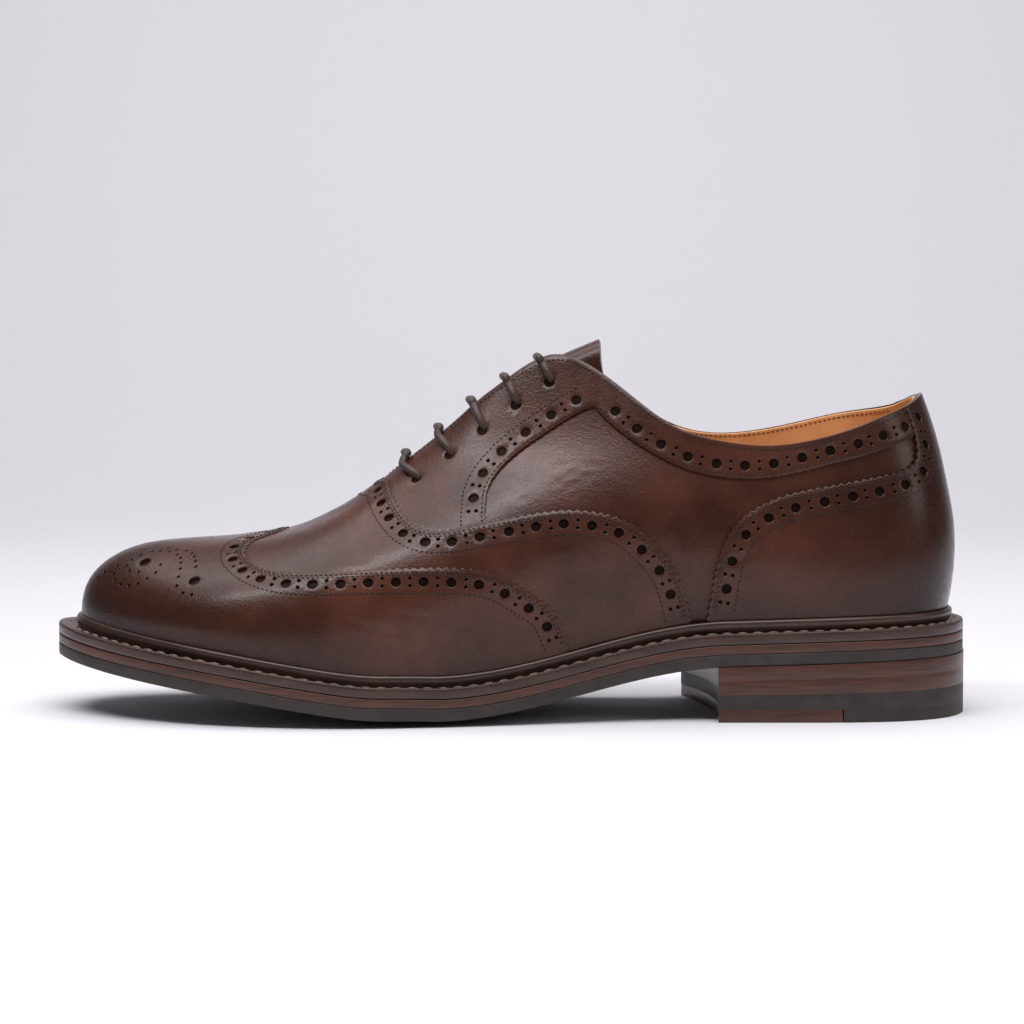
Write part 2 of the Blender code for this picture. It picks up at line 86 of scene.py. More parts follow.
INNER = (
    (0.000, 0.000, 0.000, 0.000, 0.000, 0.000),
    (0.216, 0.236, 0.231, 0.207, 0.178, 0.154),
    (0.284, 0.308, 0.308, 0.284, 0.264, 0.255),
    (0.264, 0.303, 0.322, 0.312, 0.284, 0.269),
    (0.269, 0.317, 0.346, 0.332, 0.269, 0.240),
    (0.418, 0.438, 0.413, 0.327, 0.212, 0.106),
    (0.346, 0.370, 0.361, 0.308, 0.178, 0.077),
    (0.258, 0.260, 0.240, 0.192, 0.125, 0.048),
    (0.053, 0.053, 0.048, 0.038, 0.019, 0.000),
)
TOP_OUTER = (
    1.000, 1.003, 1.000, 0.987, 0.960, 0.951, 0.961, 0.995, 1.011,
    1.003, 0.987, 0.965, 1.000, 1.020, 1.000, 1.000, 1.000,
)
TOP_INNER = (
    1.000, 1.003, 1.004, 1.012, 1.020, 1.024, 1.024, 1.020, 1.014,
    1.003, 0.987, 0.965, 1.000, 1.020, 1.000, 1.000, 1.000,
)


def bent(knots, closed):
    """Second derivatives of the smooth curve through evenly spaced knots."""
    n = len(knots)
    m = 4 * np.eye(n) + np.eye(n, k=1) + np.eye(n, k=-1)
    if closed:
        m[0, -1] = m[-1, 0] = 1
        rhs = 6 * (np.roll(knots, 1, 0) - 2 * knots + np.roll(knots, -1, 0))
    else:
        m[0] = m[-1] = 0
        m[0, 0] = m[-1, -1] = 1
        rhs = np.zeros_like(knots)
        rhs[1:-1] = 6 * (knots[:-2] - 2 * knots[1:-1] + knots[2:])
    return np.linalg.solve(m, rhs.reshape(n, -1)).reshape(knots.shape)


def curve(knots, t, closed=False):
    """Points of a smooth curve through evenly spaced knots, t from 0 to 1."""
    p = np.asarray(knots, float)
    bend = bent(p, closed)
    if closed:
        p = np.concatenate([p, p[:1]])
        bend = np.concatenate([bend, bend[:1]])
        t = np.mod(t, 1.0)
    w = t * (len(p) - 1)
    i = np.clip(np.floor(w).astype(int), 0, len(p) - 2)
    u = (w - i)[:, None]
    straight = (1 - u) * p[i] + u * p[i + 1]
    return straight + ((1 - u) ** 3 - 1 + u) * bend[i] / 6 + (u ** 3 - u) * bend[i + 1] / 6


def both(outer, inner):
    """Knots round the shoe, from the heel seam by the outer side and back."""
    return list(outer) + list(inner)[-2:0:-1]


def bottom(x, y):
    """Height of the underside of the sole: heel rise, flat, toe spring, crown."""
    front = -0.138 * LENGTH - x
    soft = 0.05 * LENGTH
    slope = TOE_SPRING / (0.31 * LENGTH)
    toe = slope * (np.sqrt(np.maximum(front, 0) ** 2 + soft ** 2) - soft)
    back = x + 0.082 * LENGTH
    r = np.clip(back / (0.311 * LENGTH), 0, 1)
    heel = 0.855 * HEEL_HEIGHT * r * r * (3 - 2 * r) + 0.03 * np.maximum(back, 0)
    side = np.clip((np.abs(y) / (0.5 * BALL_WIDTH) - 0.30) / 0.70, 0, 1.2)
    fade = 1 - np.clip((x + 0.1 * LENGTH) / (0.3 * LENGTH), 0, 1)
    return toe + heel + CROWN * fade * side ** 2


def last(s, v):
    """Point of the last's skin."""
    s, v = np.asarray(s, float), np.asarray(v, float)
    t = (1 - np.cos(np.pi * s)) / 2
    rows = []
    for j, (back, front) in enumerate(ENDS):
        x = LENGTH * (back + (front - back) * t)
        y = both([-BALL_WIDTH * r[j] for r in OUTER], [BALL_WIDTH * r[j] for r in INNER])
        z = both([HEIGHT * r[j] for r in HEIGHTS], [HEIGHT * r[j] for r in HEIGHTS])
        yz = curve(np.array([y, z]).T, s / 2, True)
        if j == 0:
            yz[:, 1] = bottom(x, yz[:, 0]) + OUTSOLE + MIDSOLE + WELT + GAP
        rows.append(np.column_stack([x, yz]))
    p = np.array(rows)
    bend = bent(p, False)
    w = v * (len(p) - 1)
    i = np.clip(np.floor(w).astype(int), 0, len(p) - 2)
    u = (w - i)[:, None]
    k = np.arange(len(s))
    straight = (1 - u) * p[i, k] + u * p[i + 1, k]
    return straight + ((1 - u) ** 3 - 1 + u) * bend[i, k] / 6 + (u ** 3 - u) * bend[i + 1, k] / 6


def slopes(s, v):
    """How the skin's point moves with s and with v."""
    e = 1e-4
    ds = (last(s + e, v) - last(s - e, v)) / (2 * e)
    dv = (last(s, v + e) - last(s, v - e)) / (2 * e)
    return ds, dv


def unit(a):
    """Rows of a at length one."""
    return a / np.maximum(np.linalg.norm(a, axis=1), 1e-12)[:, None]


def skin(s, v, off):
    """Point at the height off over the base leather, and the direction out."""
    ds, dv = slopes(s, v)
    n = unit(np.cross(dv, ds))
    return last(s, v) + n * np.reshape(off - INSET + 0 * np.asarray(s), (-1, 1)), n


def top(s):
    """Place on the rib where the opening lies."""
    return curve(np.array(both(TOP_OUTER, TOP_INNER))[:, None], np.asarray(s) / 2, True)[:, 0]


CREASES = (
    # s, v of both ends, width and depth in mm
    (0.640, 0.330, 0.560, 0.270, 1.6, 0.13), (0.660, 0.300, 0.575, 0.215, 1.5, 0.12),
    (0.690, 0.345, 0.620, 0.360, 1.3, 0.09), (0.605, 0.250, 0.540, 0.180, 1.4, 0.10),
    (0.545, 0.700, 0.480, 0.690, 1.2, 0.14), (0.540, 0.722, 0.470, 0.715, 1.0, 0.12),
    (0.535, 0.680, 0.488, 0.665, 1.1, 0.13), (0.560, 0.752, 0.498, 0.748, 1.0, 0.11),
    (0.525, 0.655, 0.480, 0.635, 1.0, 0.10), (0.575, 0.690, 0.545, 0.640, 1.2, 0.12),
    (0.430, 0.700, 0.405, 0.560, 1.6, 0.14), (0.415, 0.690, 0.398, 0.590, 1.2, 0.10),
    (0.445, 0.690, 0.425, 0.600, 1.2, 0.10), (0.560, 0.530, 0.480, 0.500, 2.2, 0.16),
    (0.720, 0.600, 0.660, 0.520, 2.2, 0.16), (0.350, 0.300, 0.330, 0.420, 2.6, 0.12),
)


def creased(points):
    """Height added by the creases: a soft trough with a low ridge each side."""
    rise = np.zeros(len(points))
    for s0, v0, s1, v1, width, depth in CREASES:
        for side in (0, 1):
            share = np.linspace(0, 1, 9)
            s = s0 + (s1 - s0) * share
            v = v0 + (v1 - v0) * share + 0.012 * np.sin(3.1 * share + 40 * s0)
            path = last(2 - s if side else s, v)
            near = np.full(len(points), 1e9)
            along = np.zeros(len(points))
            for i in range(8):
                a, b = path[i], path[i + 1]
                ab = b - a
                u = np.clip((points - a) @ ab / (ab @ ab), 0, 1)
                d = np.linalg.norm(points - a - u[:, None] * ab, axis=1)
                along = np.where(d < near, (i + u) / 8, along)
                near = np.minimum(near, d)
            w = width * 0.001
            ends = np.clip(4 * along * (1 - along) * 1.6, 0, 1)
            shape = -np.exp(-(near / (0.55 * w)) ** 2) + 0.45 * np.exp(-((near - w) / (0.6 * w)) ** 2)
            rise += (0.55 if side else 1) * depth * 0.001 * shape * ends
    return rise


def mesh_of(name, bm, finish, angle=40):
    """Finished object from a bmesh: shaded smooth, riding on the shoe."""
    mesh = bpy.data.meshes.new(name)
    bm.to_mesh(mesh)
    bm.free()
    mesh.shade_smooth()
    mesh.set_sharp_from_angle(angle=math.radians(angle))
    mesh.materials.append(finish)
    piece = bpy.data.objects.new(name, mesh)
    bpy.context.scene.collection.objects.link(piece)
    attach(piece, "root")
    return piece


def marked(piece, name, values):
    """A value on each point of the mesh, read by the finish."""
    layer = piece.data.attributes.new(name, "FLOAT", "POINT")
    layer.data.foreach_set("value", np.asarray(values, np.float32))


def wrapped_ring(name, around, profile, place, finish, angle=40):
    """A grid bent into a closed ring: round the shoe, and round its own profile."""
    bm = bmesh.new()
    bmesh.ops.create_grid(bm, x_segments=around, y_segments=profile, size=0.5)
    co = np.array([v.co for v in bm.verts]) + 0.5
    for v, p in zip(bm.verts, place(2 * co[:, 0], co[:, 1]) + MIDDLE):
        v.co = p
    bmesh.ops.remove_doubles(bm, verts=bm.verts, dist=0.00001)
    bmesh.ops.recalc_face_normals(bm, faces=bm.faces)
    return mesh_of(name, bm, finish, angle)


def worn(co):
    """How dark the polish lies on the toe and the heel; the leather is also made darker towards the
    bottom, by the welt.
    """
    x, z = co[:, 0], co[:, 2]
    toe = np.clip((-0.085 - x) / 0.055, 0, 1)
    heel = np.clip((x - 0.085) / 0.06, 0, 1)
    low = np.clip(1 - (z - bottom(x, 0 * x) - 0.012) / 0.022, 0, 1)
    return np.clip(0.75 * toe ** 1.3 + 0.8 * heel ** 1.2 + 0.35 * low, 0, 1)


def nodes_of(name, colour, roughness):
    """New finish: its material, shader node and a way to add nodes."""
    mat = bpy.data.materials.new(name)
    mat.use_nodes = True
    tree = mat.node_tree
    shader = tree.nodes["Principled BSDF"]
    shader.inputs["Base Color"].default_value = (*colour, 1)
    shader.inputs["Roughness"].default_value = roughness

    def node(kind, **values):
        new = tree.nodes.new(kind)
        for key, value in values.items():
            if hasattr(new, key) and not isinstance(value, tuple):
                setattr(new, key, value)
            elif key.replace("_", " ") in new.inputs:
                socket = new.inputs[key.replace("_", " ")]
                if isinstance(value, bpy.types.NodeSocket):
                    tree.links.new(value, socket)
                else:
                    socket.default_value = value
        return new

    return mat, tree, shader, node


def leather(name, colour, burnt, roughness=0.36, bump=0.00012):
    """Polished calf: a warm brown, darker where it was burnished, fine grained, with painted shade near
    black on the floors of its punched holes.
    """
    mat, tree, shader, node = nodes_of(name, colour, roughness)
    place = node("ShaderNodeTexCoord").outputs["Object"]
    cloud = node("ShaderNodeTexNoise", Vector=place, Scale=38.0, Detail=4.0, Roughness=0.6)
    rub = node("ShaderNodeTexNoise", Vector=place, Scale=210.0, Detail=3.0, Roughness=0.6)
    grain = node("ShaderNodeTexVoronoi", Vector=place, Scale=1500.0)
    fine = node("ShaderNodeTexNoise", Vector=place, Scale=900.0, Detail=3.0, Roughness=0.65)
    polish = node("ShaderNodeAttribute", attribute_name="burnish")
    hole_shade = node("ShaderNodeAttribute", attribute_name="hole_shade")
    raw = node("ShaderNodeAttribute", attribute_name="raw")

    def mixed(kind, share, a, b):
        mix = node("ShaderNodeMix", data_type="RGBA", blend_type=kind)
        for socket, value in ((mix.inputs[0], share), (mix.inputs[6], a), (mix.inputs[7], b)):
            if isinstance(value, bpy.types.NodeSocket):
                tree.links.new(value, socket)
            else:
                socket.default_value = value
        return mix.outputs[2]

    def spread(value, low, high, out_low, out_high):
        return node("ShaderNodeMapRange", Value=value, From_Min=low, From_Max=high,
                    To_Min=out_low, To_Max=out_high).outputs[0]

    pale = tuple(c * 1.40 for c in colour)
    deep = tuple(c * 0.62 for c in colour)
    tone = mixed("MIX", spread(cloud.outputs[0], 0.35, 0.68, 0, 1), (*deep, 1), (*pale, 1))
    tone = mixed("MIX", spread(rub.outputs[0], 0.45, 0.75, 0, 0.35), tone, (*deep, 1))
    tone = mixed("MIX", polish.outputs["Fac"], tone, (*burnt, 1))
    edge = (burnt[0] * 0.9, burnt[1] * 0.8, burnt[2] * 0.7, 1)
    tone = mixed("MIX", raw.outputs["Fac"], tone, edge)
    # The floors of the punched holes are painted near black and lose their coat and specular: painted
    # shade in the holes.
    tone = mixed("MIX", hole_shade.outputs["Fac"], tone, (0.014, 0.0075, 0.0055, 1))
    tree.links.new(tone, shader.inputs["Base Color"])
    rough = spread(rub.outputs[0], 0.3, 0.75, roughness - 0.05, roughness + 0.12)
    tree.links.new(rough, shader.inputs["Roughness"])
    tree.links.new(spread(hole_shade.outputs["Fac"], 0, 1, 0.20, 0.0), shader.inputs["Coat Weight"])
    tree.links.new(spread(hole_shade.outputs["Fac"], 0, 1, 0.24, 0.03), shader.inputs["Specular IOR Level"])
    shader.inputs["Coat Roughness"].default_value = 0.20
    shader.inputs["Coat Tint"].default_value = (0.93, 0.90, 1.0, 1)
    relief = node("ShaderNodeMath", operation="ADD")
    tree.links.new(spread(grain.outputs[0], 0, 1, 0, 0.5), relief.inputs[0])
    tree.links.new(fine.outputs[0], relief.inputs[1])
    bend = node("ShaderNodeBump", Distance=bump, Strength=0.8, Height=relief.outputs[0])
    tree.links.new(bend.outputs[0], shader.inputs["Normal"])
    return mat


CALF = leather("calf", (0.069, 0.023, 0.0125), (0.024, 0.0074, 0.0042), 0.25)


def quarters_place(s, b):
    """Round the closed wall of the quarters: up outside, over the rim, down inside."""
    up = np.clip(b / 0.62, 0, 1)
    turn = np.clip((b - 0.62) / 0.08, 0, 1)
    down = np.clip((b - 0.70) / 0.26, 0, 1)
    back = np.clip((b - 0.96) / 0.04, 0, 1)
    v = top(s) * (up * (1 - down)) + 0.006 * np.sin(np.pi * turn)
    off = -0.0010 * (1 - np.cos(np.pi * turn)) / 2 + 0.0010 * back
    points = last(s, v)
    off = off + np.where(b < 0.62, creased(points), 0)
    return skin(s, v, off)[0]


quarters = wrapped_ring("quarters", 660, 140, quarters_place, CALF)
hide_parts("upper")
marked(quarters, "burnish", worn(np.array([v.co for v in quarters.data.vertices])))


def tan(name, colour):
    """Lining leather: unpolished tan with a fine nap."""
    mat, tree, shader, node = nodes_of(name, colour, 0.62)
    place = node("ShaderNodeTexCoord").outputs["Object"]
    cloud = node("ShaderNodeTexNoise", Vector=place, Scale=60.0, Detail=5.0)
    ramp = node("ShaderNodeValToRGB", Fac=cloud.outputs[0])
    ramp.color_ramp.elements[0].position = 0.3
    ramp.color_ramp.elements[0].color = (*(c * 0.78 for c in colour), 1)
    ramp.color_ramp.elements[1].position = 0.7
    ramp.color_ramp.elements[1].color = (*(c * 1.12 for c in colour), 1)
    tree.links.new(ramp.outputs[0], shader.inputs["Base Color"])
    nap = node("ShaderNodeTexNoise", Vector=place, Scale=1300.0, Detail=2.0)
    bend = node("ShaderNodeBump", Distance=0.00008, Strength=0.6, Height=nap.outputs[0])
    tree.links.new(bend.outputs[0], shader.inputs["Normal"])
    return mat


TAN = tan("lining_leather", (0.85, 0.43, 0.17))


def lining_place(s, b):
    """The closed wall of the lining, a little lower than the rim of the quarters."""
    up = np.clip(b / 0.45, 0, 1)
    turn = np.clip((b - 0.45) / 0.08, 0, 1)
    down = np.clip((b - 0.53) / 0.43, 0, 1)
    back = np.clip((b - 0.96) / 0.04, 0, 1)
    v = (top(s) - 0.004) * (up * (1 - down)) + 0.005 * np.sin(np.pi * turn)
    off = -0.0009 - 0.0011 * (1 - np.cos(np.pi * turn)) / 2 + 0.0011 * back
    return skin(s, v, off)[0]


lining = wrapped_ring("lining", 500, 90, lining_place, TAN)


# Facings and collar
# Calf bands that carry the eyelets and run back along the topline. Their rear
# edges are cut in small teeth, stitched in two rows and punched in a pattern.
FACING_TOP = 0.0010
FACING = (
    (0.562, 0.545), (0.580, 0.607), (0.592, 0.656), (0.603, 0.702), (0.607, 0.742),
    (0.604, 0.775), (0.595, 0.805), (0.580, 0.843), (0.567, 0.882), (0.557, 0.913),
)
COLLAR = (
    (0.549, 0.918), (0.515, 0.874), (0.478, 0.823), (0.446, 0.787), (0.417, 0.769),
    (0.390, 0.766), (0.364, 0.771), (0.336, 0.781), (0.306, 0.799), (0.274, 0.810),
    (0.238, 0.815), (0.195, 0.831), (0.150, 0.846), (0.110, 0.860),
)
VAMP = (
    (0.371, 0.020), (0.373, 0.100), (0.380, 0.199), (0.389, 0.285), (0.402, 0.370),
    (0.417, 0.442), (0.433, 0.503), (0.451, 0.553), (0.475, 0.587), (0.505, 0.606),
    (0.535, 0.606), (0.565, 0.598), (0.593, 0.592), (0.615, 0.593), (0.636, 0.610),
    (0.658, 0.645), (0.691, 0.704), (0.738, 0.782), (0.790, 0.860), (0.835, 0.912),
    (0.900, 0.955), (0.950, 0.975), (1.000, 0.985),
)
EYELETS = ((0.722, 0.814), (0.692, 0.841), (0.663, 0.868), (0.635, 0.901), (0.609, 0.943))
BIG, SMALL, PITCH, PUNCHED, INNER_ROW = 0.00165, 0.00062, 0.0089, 0.0041, 0.0078
TOOTH, TOOTH_DEPTH = 0.0026, 0.0008


def walk(knots, step, fine=40):
    """Even walk along a smooth line through (s, v) knots, about step apart."""
    knots = np.array(knots)
    p = curve(knots, np.linspace(0, 1, fine * len(knots)))
    run = np.linalg.norm(np.diff(last(*p.T), axis=0), axis=1)
    run = np.concatenate([[0], np.cumsum(run)])
    t = np.linspace(0, run[-1], max(2, round(run[-1] / step)) + 1)
    return np.column_stack([np.interp(t, run, p[:, 0]), np.interp(t, run, p[:, 1])])


def step_by(s, v, move):
    """(s, v) after moves over the skin, given as vectors in metres."""
    ds, dv = slopes(s, v)
    a, b, c = (ds * ds).sum(1), (ds * dv).sum(1), (dv * dv).sum(1)
    u, w = (move * ds).sum(1), (move * dv).sum(1)
    det = a * c - b * b
    return np.column_stack([s + (c * u - b * w) / det, v + (a * w - b * u) / det])


def beside(line, d):
    """The line moved d to its left over the skin, loops at its bends left out."""
    ds, dv = slopes(*line.T)
    p = last(*line.T)
    along = unit(np.gradient(p, axis=0))
    left = np.cross(unit(np.cross(dv, ds)), along)
    steps = max(1, round(np.abs(d).max() / 0.002))
    new = line
    for _ in range(steps):
        new = step_by(*new.T, left * np.reshape(d / steps + 0 * line[:, 0], (-1, 1)))
    if np.ndim(d):
        return new
    q = last(*new.T)
    near = np.array([np.linalg.norm(p - point, axis=1).min() for point in q])
    return new[near > 0.93 * abs(d) - 0.0001]


def mirrored(line):
    """The same line on the inner side, walked the other way."""
    return np.column_stack([2 - line[:, 0], line[:, 1]])[::-1]


def toothed(knots, depth=TOOTH_DEPTH):
    """Edge cut in teeth: every second point stands out to the right."""
    line = walk(knots, TOOTH / 2)
    out = np.where(np.arange(len(line)) % 2, -depth, 0.0)
    return beside(line, out)


def brogued(knots, start=0.5, step=PITCH):
    """Centres of the large and the small holes along an edge's hole line."""
    fine = beside(walk(knots, 0.0005), PUNCHED)
    p = last(*fine.T)
    run = np.concatenate([[0], np.cumsum(np.linalg.norm(np.diff(p, axis=0), axis=1))])
    count = int(run[-1] / step)
    at = np.interp((np.arange(count) + start) * run[-1] / count, run, np.arange(len(fine)))
    large = fine[np.rint(at).astype(int)]
    mid = (np.arange(count - 1) + start + 0.5) * run[-1] / count
    i = np.rint(np.interp(mid, run, np.arange(len(fine)))).astype(int)
    small = []
    for d in (-0.00125, 0.00125):
        small.extend(beside(fine, np.full(len(fine), d))[i])
    return large, np.array(small)


def inside(points, rim):
    """Which (s, v) points lie inside the closed rim."""
    x, y = points.T
    hit = np.zeros(len(points), bool)
    for (x0, y0), (x1, y1) in zip(rim, np.roll(rim, -1, 0)):
        cross = (y0 > y) != (y1 > y)
        with np.errstate(divide="ignore", invalid="ignore"):
            hit ^= cross & (x < (x1 - x0) * (y - y0) / (y1 - y0) + x0)
    return hit


def panel(name, rim, height, low, holes, finish, grid=0.0014, soft=0.00035):
    """A leather panel: outline rim in (s, v), punched, its top at that height."""
    around = np.array(rim)
    p_rim = last(*around.T)
    size = np.linalg.norm(np.roll(p_rim, -1, 0) - p_rim, axis=1)
    around = around[size > 0.00004]
    p_rim = last(*around.T)
    ds, dv = slopes(*around.T)
    n = unit(np.cross(dv, ds))
    along = unit(np.roll(p_rim, -1, 0) - np.roll(p_rim, 1, 0))
    left = np.cross(n, along)
    inner = step_by(*around.T, left * soft)
    if not inside(inner, around).mean() > 0.5:
        inner = step_by(*around.T, -left * soft)
    inner = inner[inside(inner, around)]
    # grid of points over the panel, even on the skin
    s_low, v_low = around.min(0)
    s_high, v_high = around.max(0)
    cells = []
    for v in np.arange(v_low, v_high, grid / 0.105):
        s = np.arange(s_low, s_high, 0.001)
        run = np.linalg.norm(np.diff(last(s, 0 * s + v), axis=0), axis=1)
        run = np.concatenate([[0], np.cumsum(run)])
        even = np.interp(np.arange(0, run[-1], grid), run, s)
        cells.append(np.column_stack([even, 0 * even + v]))
    cells = np.concatenate(cells)
    cells = cells[inside(cells, around)]
    tree = KDTree(len(p_rim))
    for i, q in enumerate(p_rim):
        tree.insert(q, i)
    tree.balance()
    p = last(*cells.T)
    clear = np.array([tree.find(q)[2] > 0.0011 for q in p])
    rings, depth = [], []
    for centres, r, shape in holes:
        turns = 16 if r > 0.001 else 9
        angle = np.arange(turns) * 2 * math.pi / turns
        for c in centres:
            one = np.full(turns, c[0]), np.full(turns, c[1])
            ds, dv = slopes(*one)
            e1 = unit(ds)
            e2 = unit(dv - (dv * e1).sum(1)[:, None] * e1)
            spin = e1 * np.cos(angle)[:, None] + e2 * np.sin(angle)[:, None]
            for ring, down in shape:
                rings.append(step_by(*one, spin * (r + ring)))
                depth.append(np.full(turns, down))
            rings.append(np.array([c]))
            depth.append(np.array([shape[-1][1]]))
            near = np.linalg.norm(p - last(np.array([c[0]]), np.array([c[1]])), axis=1)
            clear &= near > r + 0.0009
    cells = cells[clear]
    points = [around, inner, cells] + rings
    down = [np.full(len(around), 0.00014), np.zeros(len(inner) + len(cells))] + depth
    points, down = np.concatenate(points), np.concatenate(down)
    scale = np.array((0.34, 0.105))
    edges = [(i, (i + 1) % len(around)) for i in range(len(around))]
    first = len(around) + len(inner) + len(cells)
    for ring in rings:
        if len(ring) > 1:
            edges += [(first + i, first + (i + 1) % len(ring)) for i in range(len(ring))]
        first += len(ring)
    flat = [Vector(q) for q in points * scale]
    made, _, faces, sources, _, _ = delaunay_2d_cdt(flat, edges, [], 0, 1e-9)
    source = np.array([w[0] if w else -1 for w in sources])
    uv = np.array(made) / scale
    down = np.where(source >= 0, down[source], 0)
    middle = np.array([uv[list(f)].mean(0) for f in faces])
    keep = inside(middle, around)
    rise = creased(last(*uv.T))
    up, n = skin(*uv.T, height - down + rise)
    bm = bmesh.new()
    layer = bm.verts.layers.float
    for key in ("hole_shade", "raw"):
        layer.new(key)
    index = bm.verts.layers.int.new("index")
    hole_shade, raw = layer["hole_shade"], layer["raw"]
    for q in up + MIDDLE:
        bm.verts.new(q)
    bm.verts.ensure_lookup_table()
    for f, k in zip(faces, keep):
        if k:
            bm.faces.new([bm.verts[i] for i in f])
    for i, v in enumerate(bm.verts):
        # Points sunk into a hole are marked for painted shade, fully dark from 0.7 mm down.
        v[hole_shade] = min(1.0, down[i] / 0.0007) if down[i] > 0.0002 else 0.0
        v[index] = i
    loose = [v for v in bm.verts if not v.link_faces]
    bmesh.ops.delete(bm, geom=loose, context="VERTS")
    bmesh.ops.recalc_face_normals(bm, faces=bm.faces)
    new = bmesh.ops.extrude_face_region(bm, geom=bm.faces[:])["geom"]
    under = skin(*uv.T, np.full(len(uv), low))[0] + MIDDLE
    for v in new:
        if isinstance(v, bmesh.types.BMVert):
            v.co = under[v[index]]
            v[raw], v[hole_shade] = 1.0, 0.0
    bmesh.ops.recalc_face_normals(bm, faces=bm.faces)
    bm.verts.layers.int.remove(bm.verts.layers.int["index"])
    piece = mesh_of(name, bm, finish, 35)
    marked(piece, "burnish", worn(np.array([v.co for v in piece.data.vertices])))
    return piece


def thread(name, rows, finish, long=0.00120, thick=0.00058, pitch=0.00165):
    """Rows of stitches as small round bars; rows are (points, normals out)."""
    bm = bmesh.new()
    seen = []
    for points, normals in rows:
        run = np.concatenate([[0], np.cumsum(np.linalg.norm(np.diff(points, axis=0), axis=1))])
        jumps = np.linalg.norm(np.diff(points, axis=0), axis=1) > 3 * pitch
        at = np.arange(0.5 * pitch, run[-1], pitch)
        place = np.column_stack([np.interp(at, run, points[:, k]) for k in range(3)])
        ahead = np.column_stack([np.interp(at + 0.0003, run, points[:, k]) for k in range(3)])
        back = np.column_stack([np.interp(at - 0.0003, run, points[:, k]) for k in range(3)])
        out = np.column_stack([np.interp(at, run, normals[:, k]) for k in range(3)])
        gap = jumps[np.clip(np.searchsorted(run, at) - 1, 0, len(jumps) - 1)]
        for c, a, b, n, skip in zip(place, ahead, back, out, gap):
            if not skip:
                seen.append((c, a - b, n))
    for c, along, n in seen:
        along = Vector(along).normalized()
        n = Vector(n).normalized()
        side = n.cross(along).normalized()
        rings = []
        for x, r, dip in ((-0.5, 0.25, 0.7), (-0.36, 0.8, 0.2), (0.0, 1.0, 0.0),
                          (0.36, 0.8, 0.2), (0.5, 0.25, 0.7)):
            ring = []
            for k in range(6):
                w = k * math.pi / 3
                q = Vector(c) + along * x * long
                q += (side * math.cos(w) + n * math.sin(w)) * r * thick * 0.5
                q -= n * dip * thick * 0.5
                ring.append(bm.verts.new(q + Vector(MIDDLE)))
            rings.append(ring)
        for r0, r1 in zip(rings, rings[1:]):
            for k in range(6):
                bm.faces.new((r0[k], r0[(k + 1) % 6], r1[(k + 1) % 6], r1[k]))
        bm.faces.new(rings[0][::-1])
        bm.faces.new(rings[-1])
    bmesh.ops.recalc_face_normals(bm, faces=bm.faces)
    piece = mesh_of(name, bm, finish, 60)
    return piece


def row_on(line, off):
    """Points and normals of a stitch row on a panel's top."""
    rise = creased(last(*line.T))
    return skin(*line.T, off + rise)


def rows_by(knots, off, offsets, both_sides=True):
    """Stitch rows beside an edge, on both sides of the shoe."""
    rows = []
    base = walk(knots, 0.0008)
    for d in offsets:
        line = beside(base, d)
        rows.append(row_on(line, off))
        if both_sides:
            rows.append(row_on(mirrored(line), off))
    return rows


def plain(name, colour, roughness, scale=1200.0, bump=0.00005):
    """One colour with a little mottling and a fine grain."""
    mat, tree, shader, node = nodes_of(name, colour, roughness)
    place = node("ShaderNodeTexCoord").outputs["Object"]
    cloud = node("ShaderNodeTexNoise", Vector=place, Scale=160.0, Detail=4.0)
    ramp = node("ShaderNodeValToRGB", Fac=cloud.outputs[0])
    ramp.color_ramp.elements[0].position = 0.3
    ramp.color_ramp.elements[0].color = (*(c * 0.75 for c in colour), 1)
    ramp.color_ramp.elements[1].position = 0.7
    ramp.color_ramp.elements[1].color = (*(c * 1.25 for c in colour), 1)
    tree.links.new(ramp.outputs[0], shader.inputs["Base Color"])
    grain = node("ShaderNodeTexNoise", Vector=place, Scale=scale, Detail=2.0)
    bend = node("ShaderNodeBump", Distance=bump, Strength=0.7, Height=grain.outputs[0])
    tree.links.new(bend.outputs[0], shader.inputs["Normal"])
    return mat


DARK_THREAD = plain("dark_thread", (0.012, 0.006, 0.005), 0.75)
# Hole shapes: rings as (out from the hole's edge, depth below the top); the deep points get painted shade.
HOLE = ((0.00030, 0.0), (0.00012, 0.00006), (0.0, 0.00022), (-0.00012, 0.0010))
PIN = ((0.00016, 0.0), (0.0, 0.00012), (-0.00012, 0.0008))
EYE = ((0.00035, 0.0), (0.00012, 0.00008), (0.0, 0.0003), (-0.00015, 0.0026))


def facing(side):
    """One facing with its collar band, cut for the side 0 (outer) or 1 (inner)."""
    front = walk(VAMP[15:], 0.0016)
    front = front[front[:, 1] < 0.972]
    front = beside(front, np.full(len(front), 0.0018))[:-1]
    start = [(0.612, 0.580)]
    s_end = front[-1, 0]
    rim_s = np.linspace(s_end + 0.004, 0.105, 260)
    rim = np.column_stack([rim_s, top(rim_s) + 0.004])
    rear = toothed(FACING, 0.0002)
    rear = rear[rear[:, 1] > 0.578]
    corner = [(0.5520, 0.9225)]
    collar = toothed(COLLAR, 0.0002)
    # walked so that the band lies to the left: front edge up, rim back, collar, rear
    loop = np.concatenate([start, front, rim, collar[::-1], corner, rear[::-1]])
    large, small = brogued(FACING, 0.75)
    large, small = large[large[:, 1] > 0.645], small[small[:, 1] > 0.625]
    large2, small2 = brogued(COLLAR, 0.5)
    holes = [(np.concatenate([large, large2]), BIG, HOLE),
             (np.concatenate([small, small2]), SMALL, PIN), (np.array(EYELETS), 0.00175, EYE)]
    holes = [(c, r, [(ring, min(down, 0.0007)) for ring, down in h]) for c, r, h in holes]
    if side:
        loop = mirrored(loop)
        holes = [(mirrored(c), r, h) for c, r, h in holes]
    name = ("facing_outer", "facing_inner")[side]
    piece = panel(name + "_calf", loop, FACING_TOP, -0.0003, holes, CALF)
    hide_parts(name)
    return piece


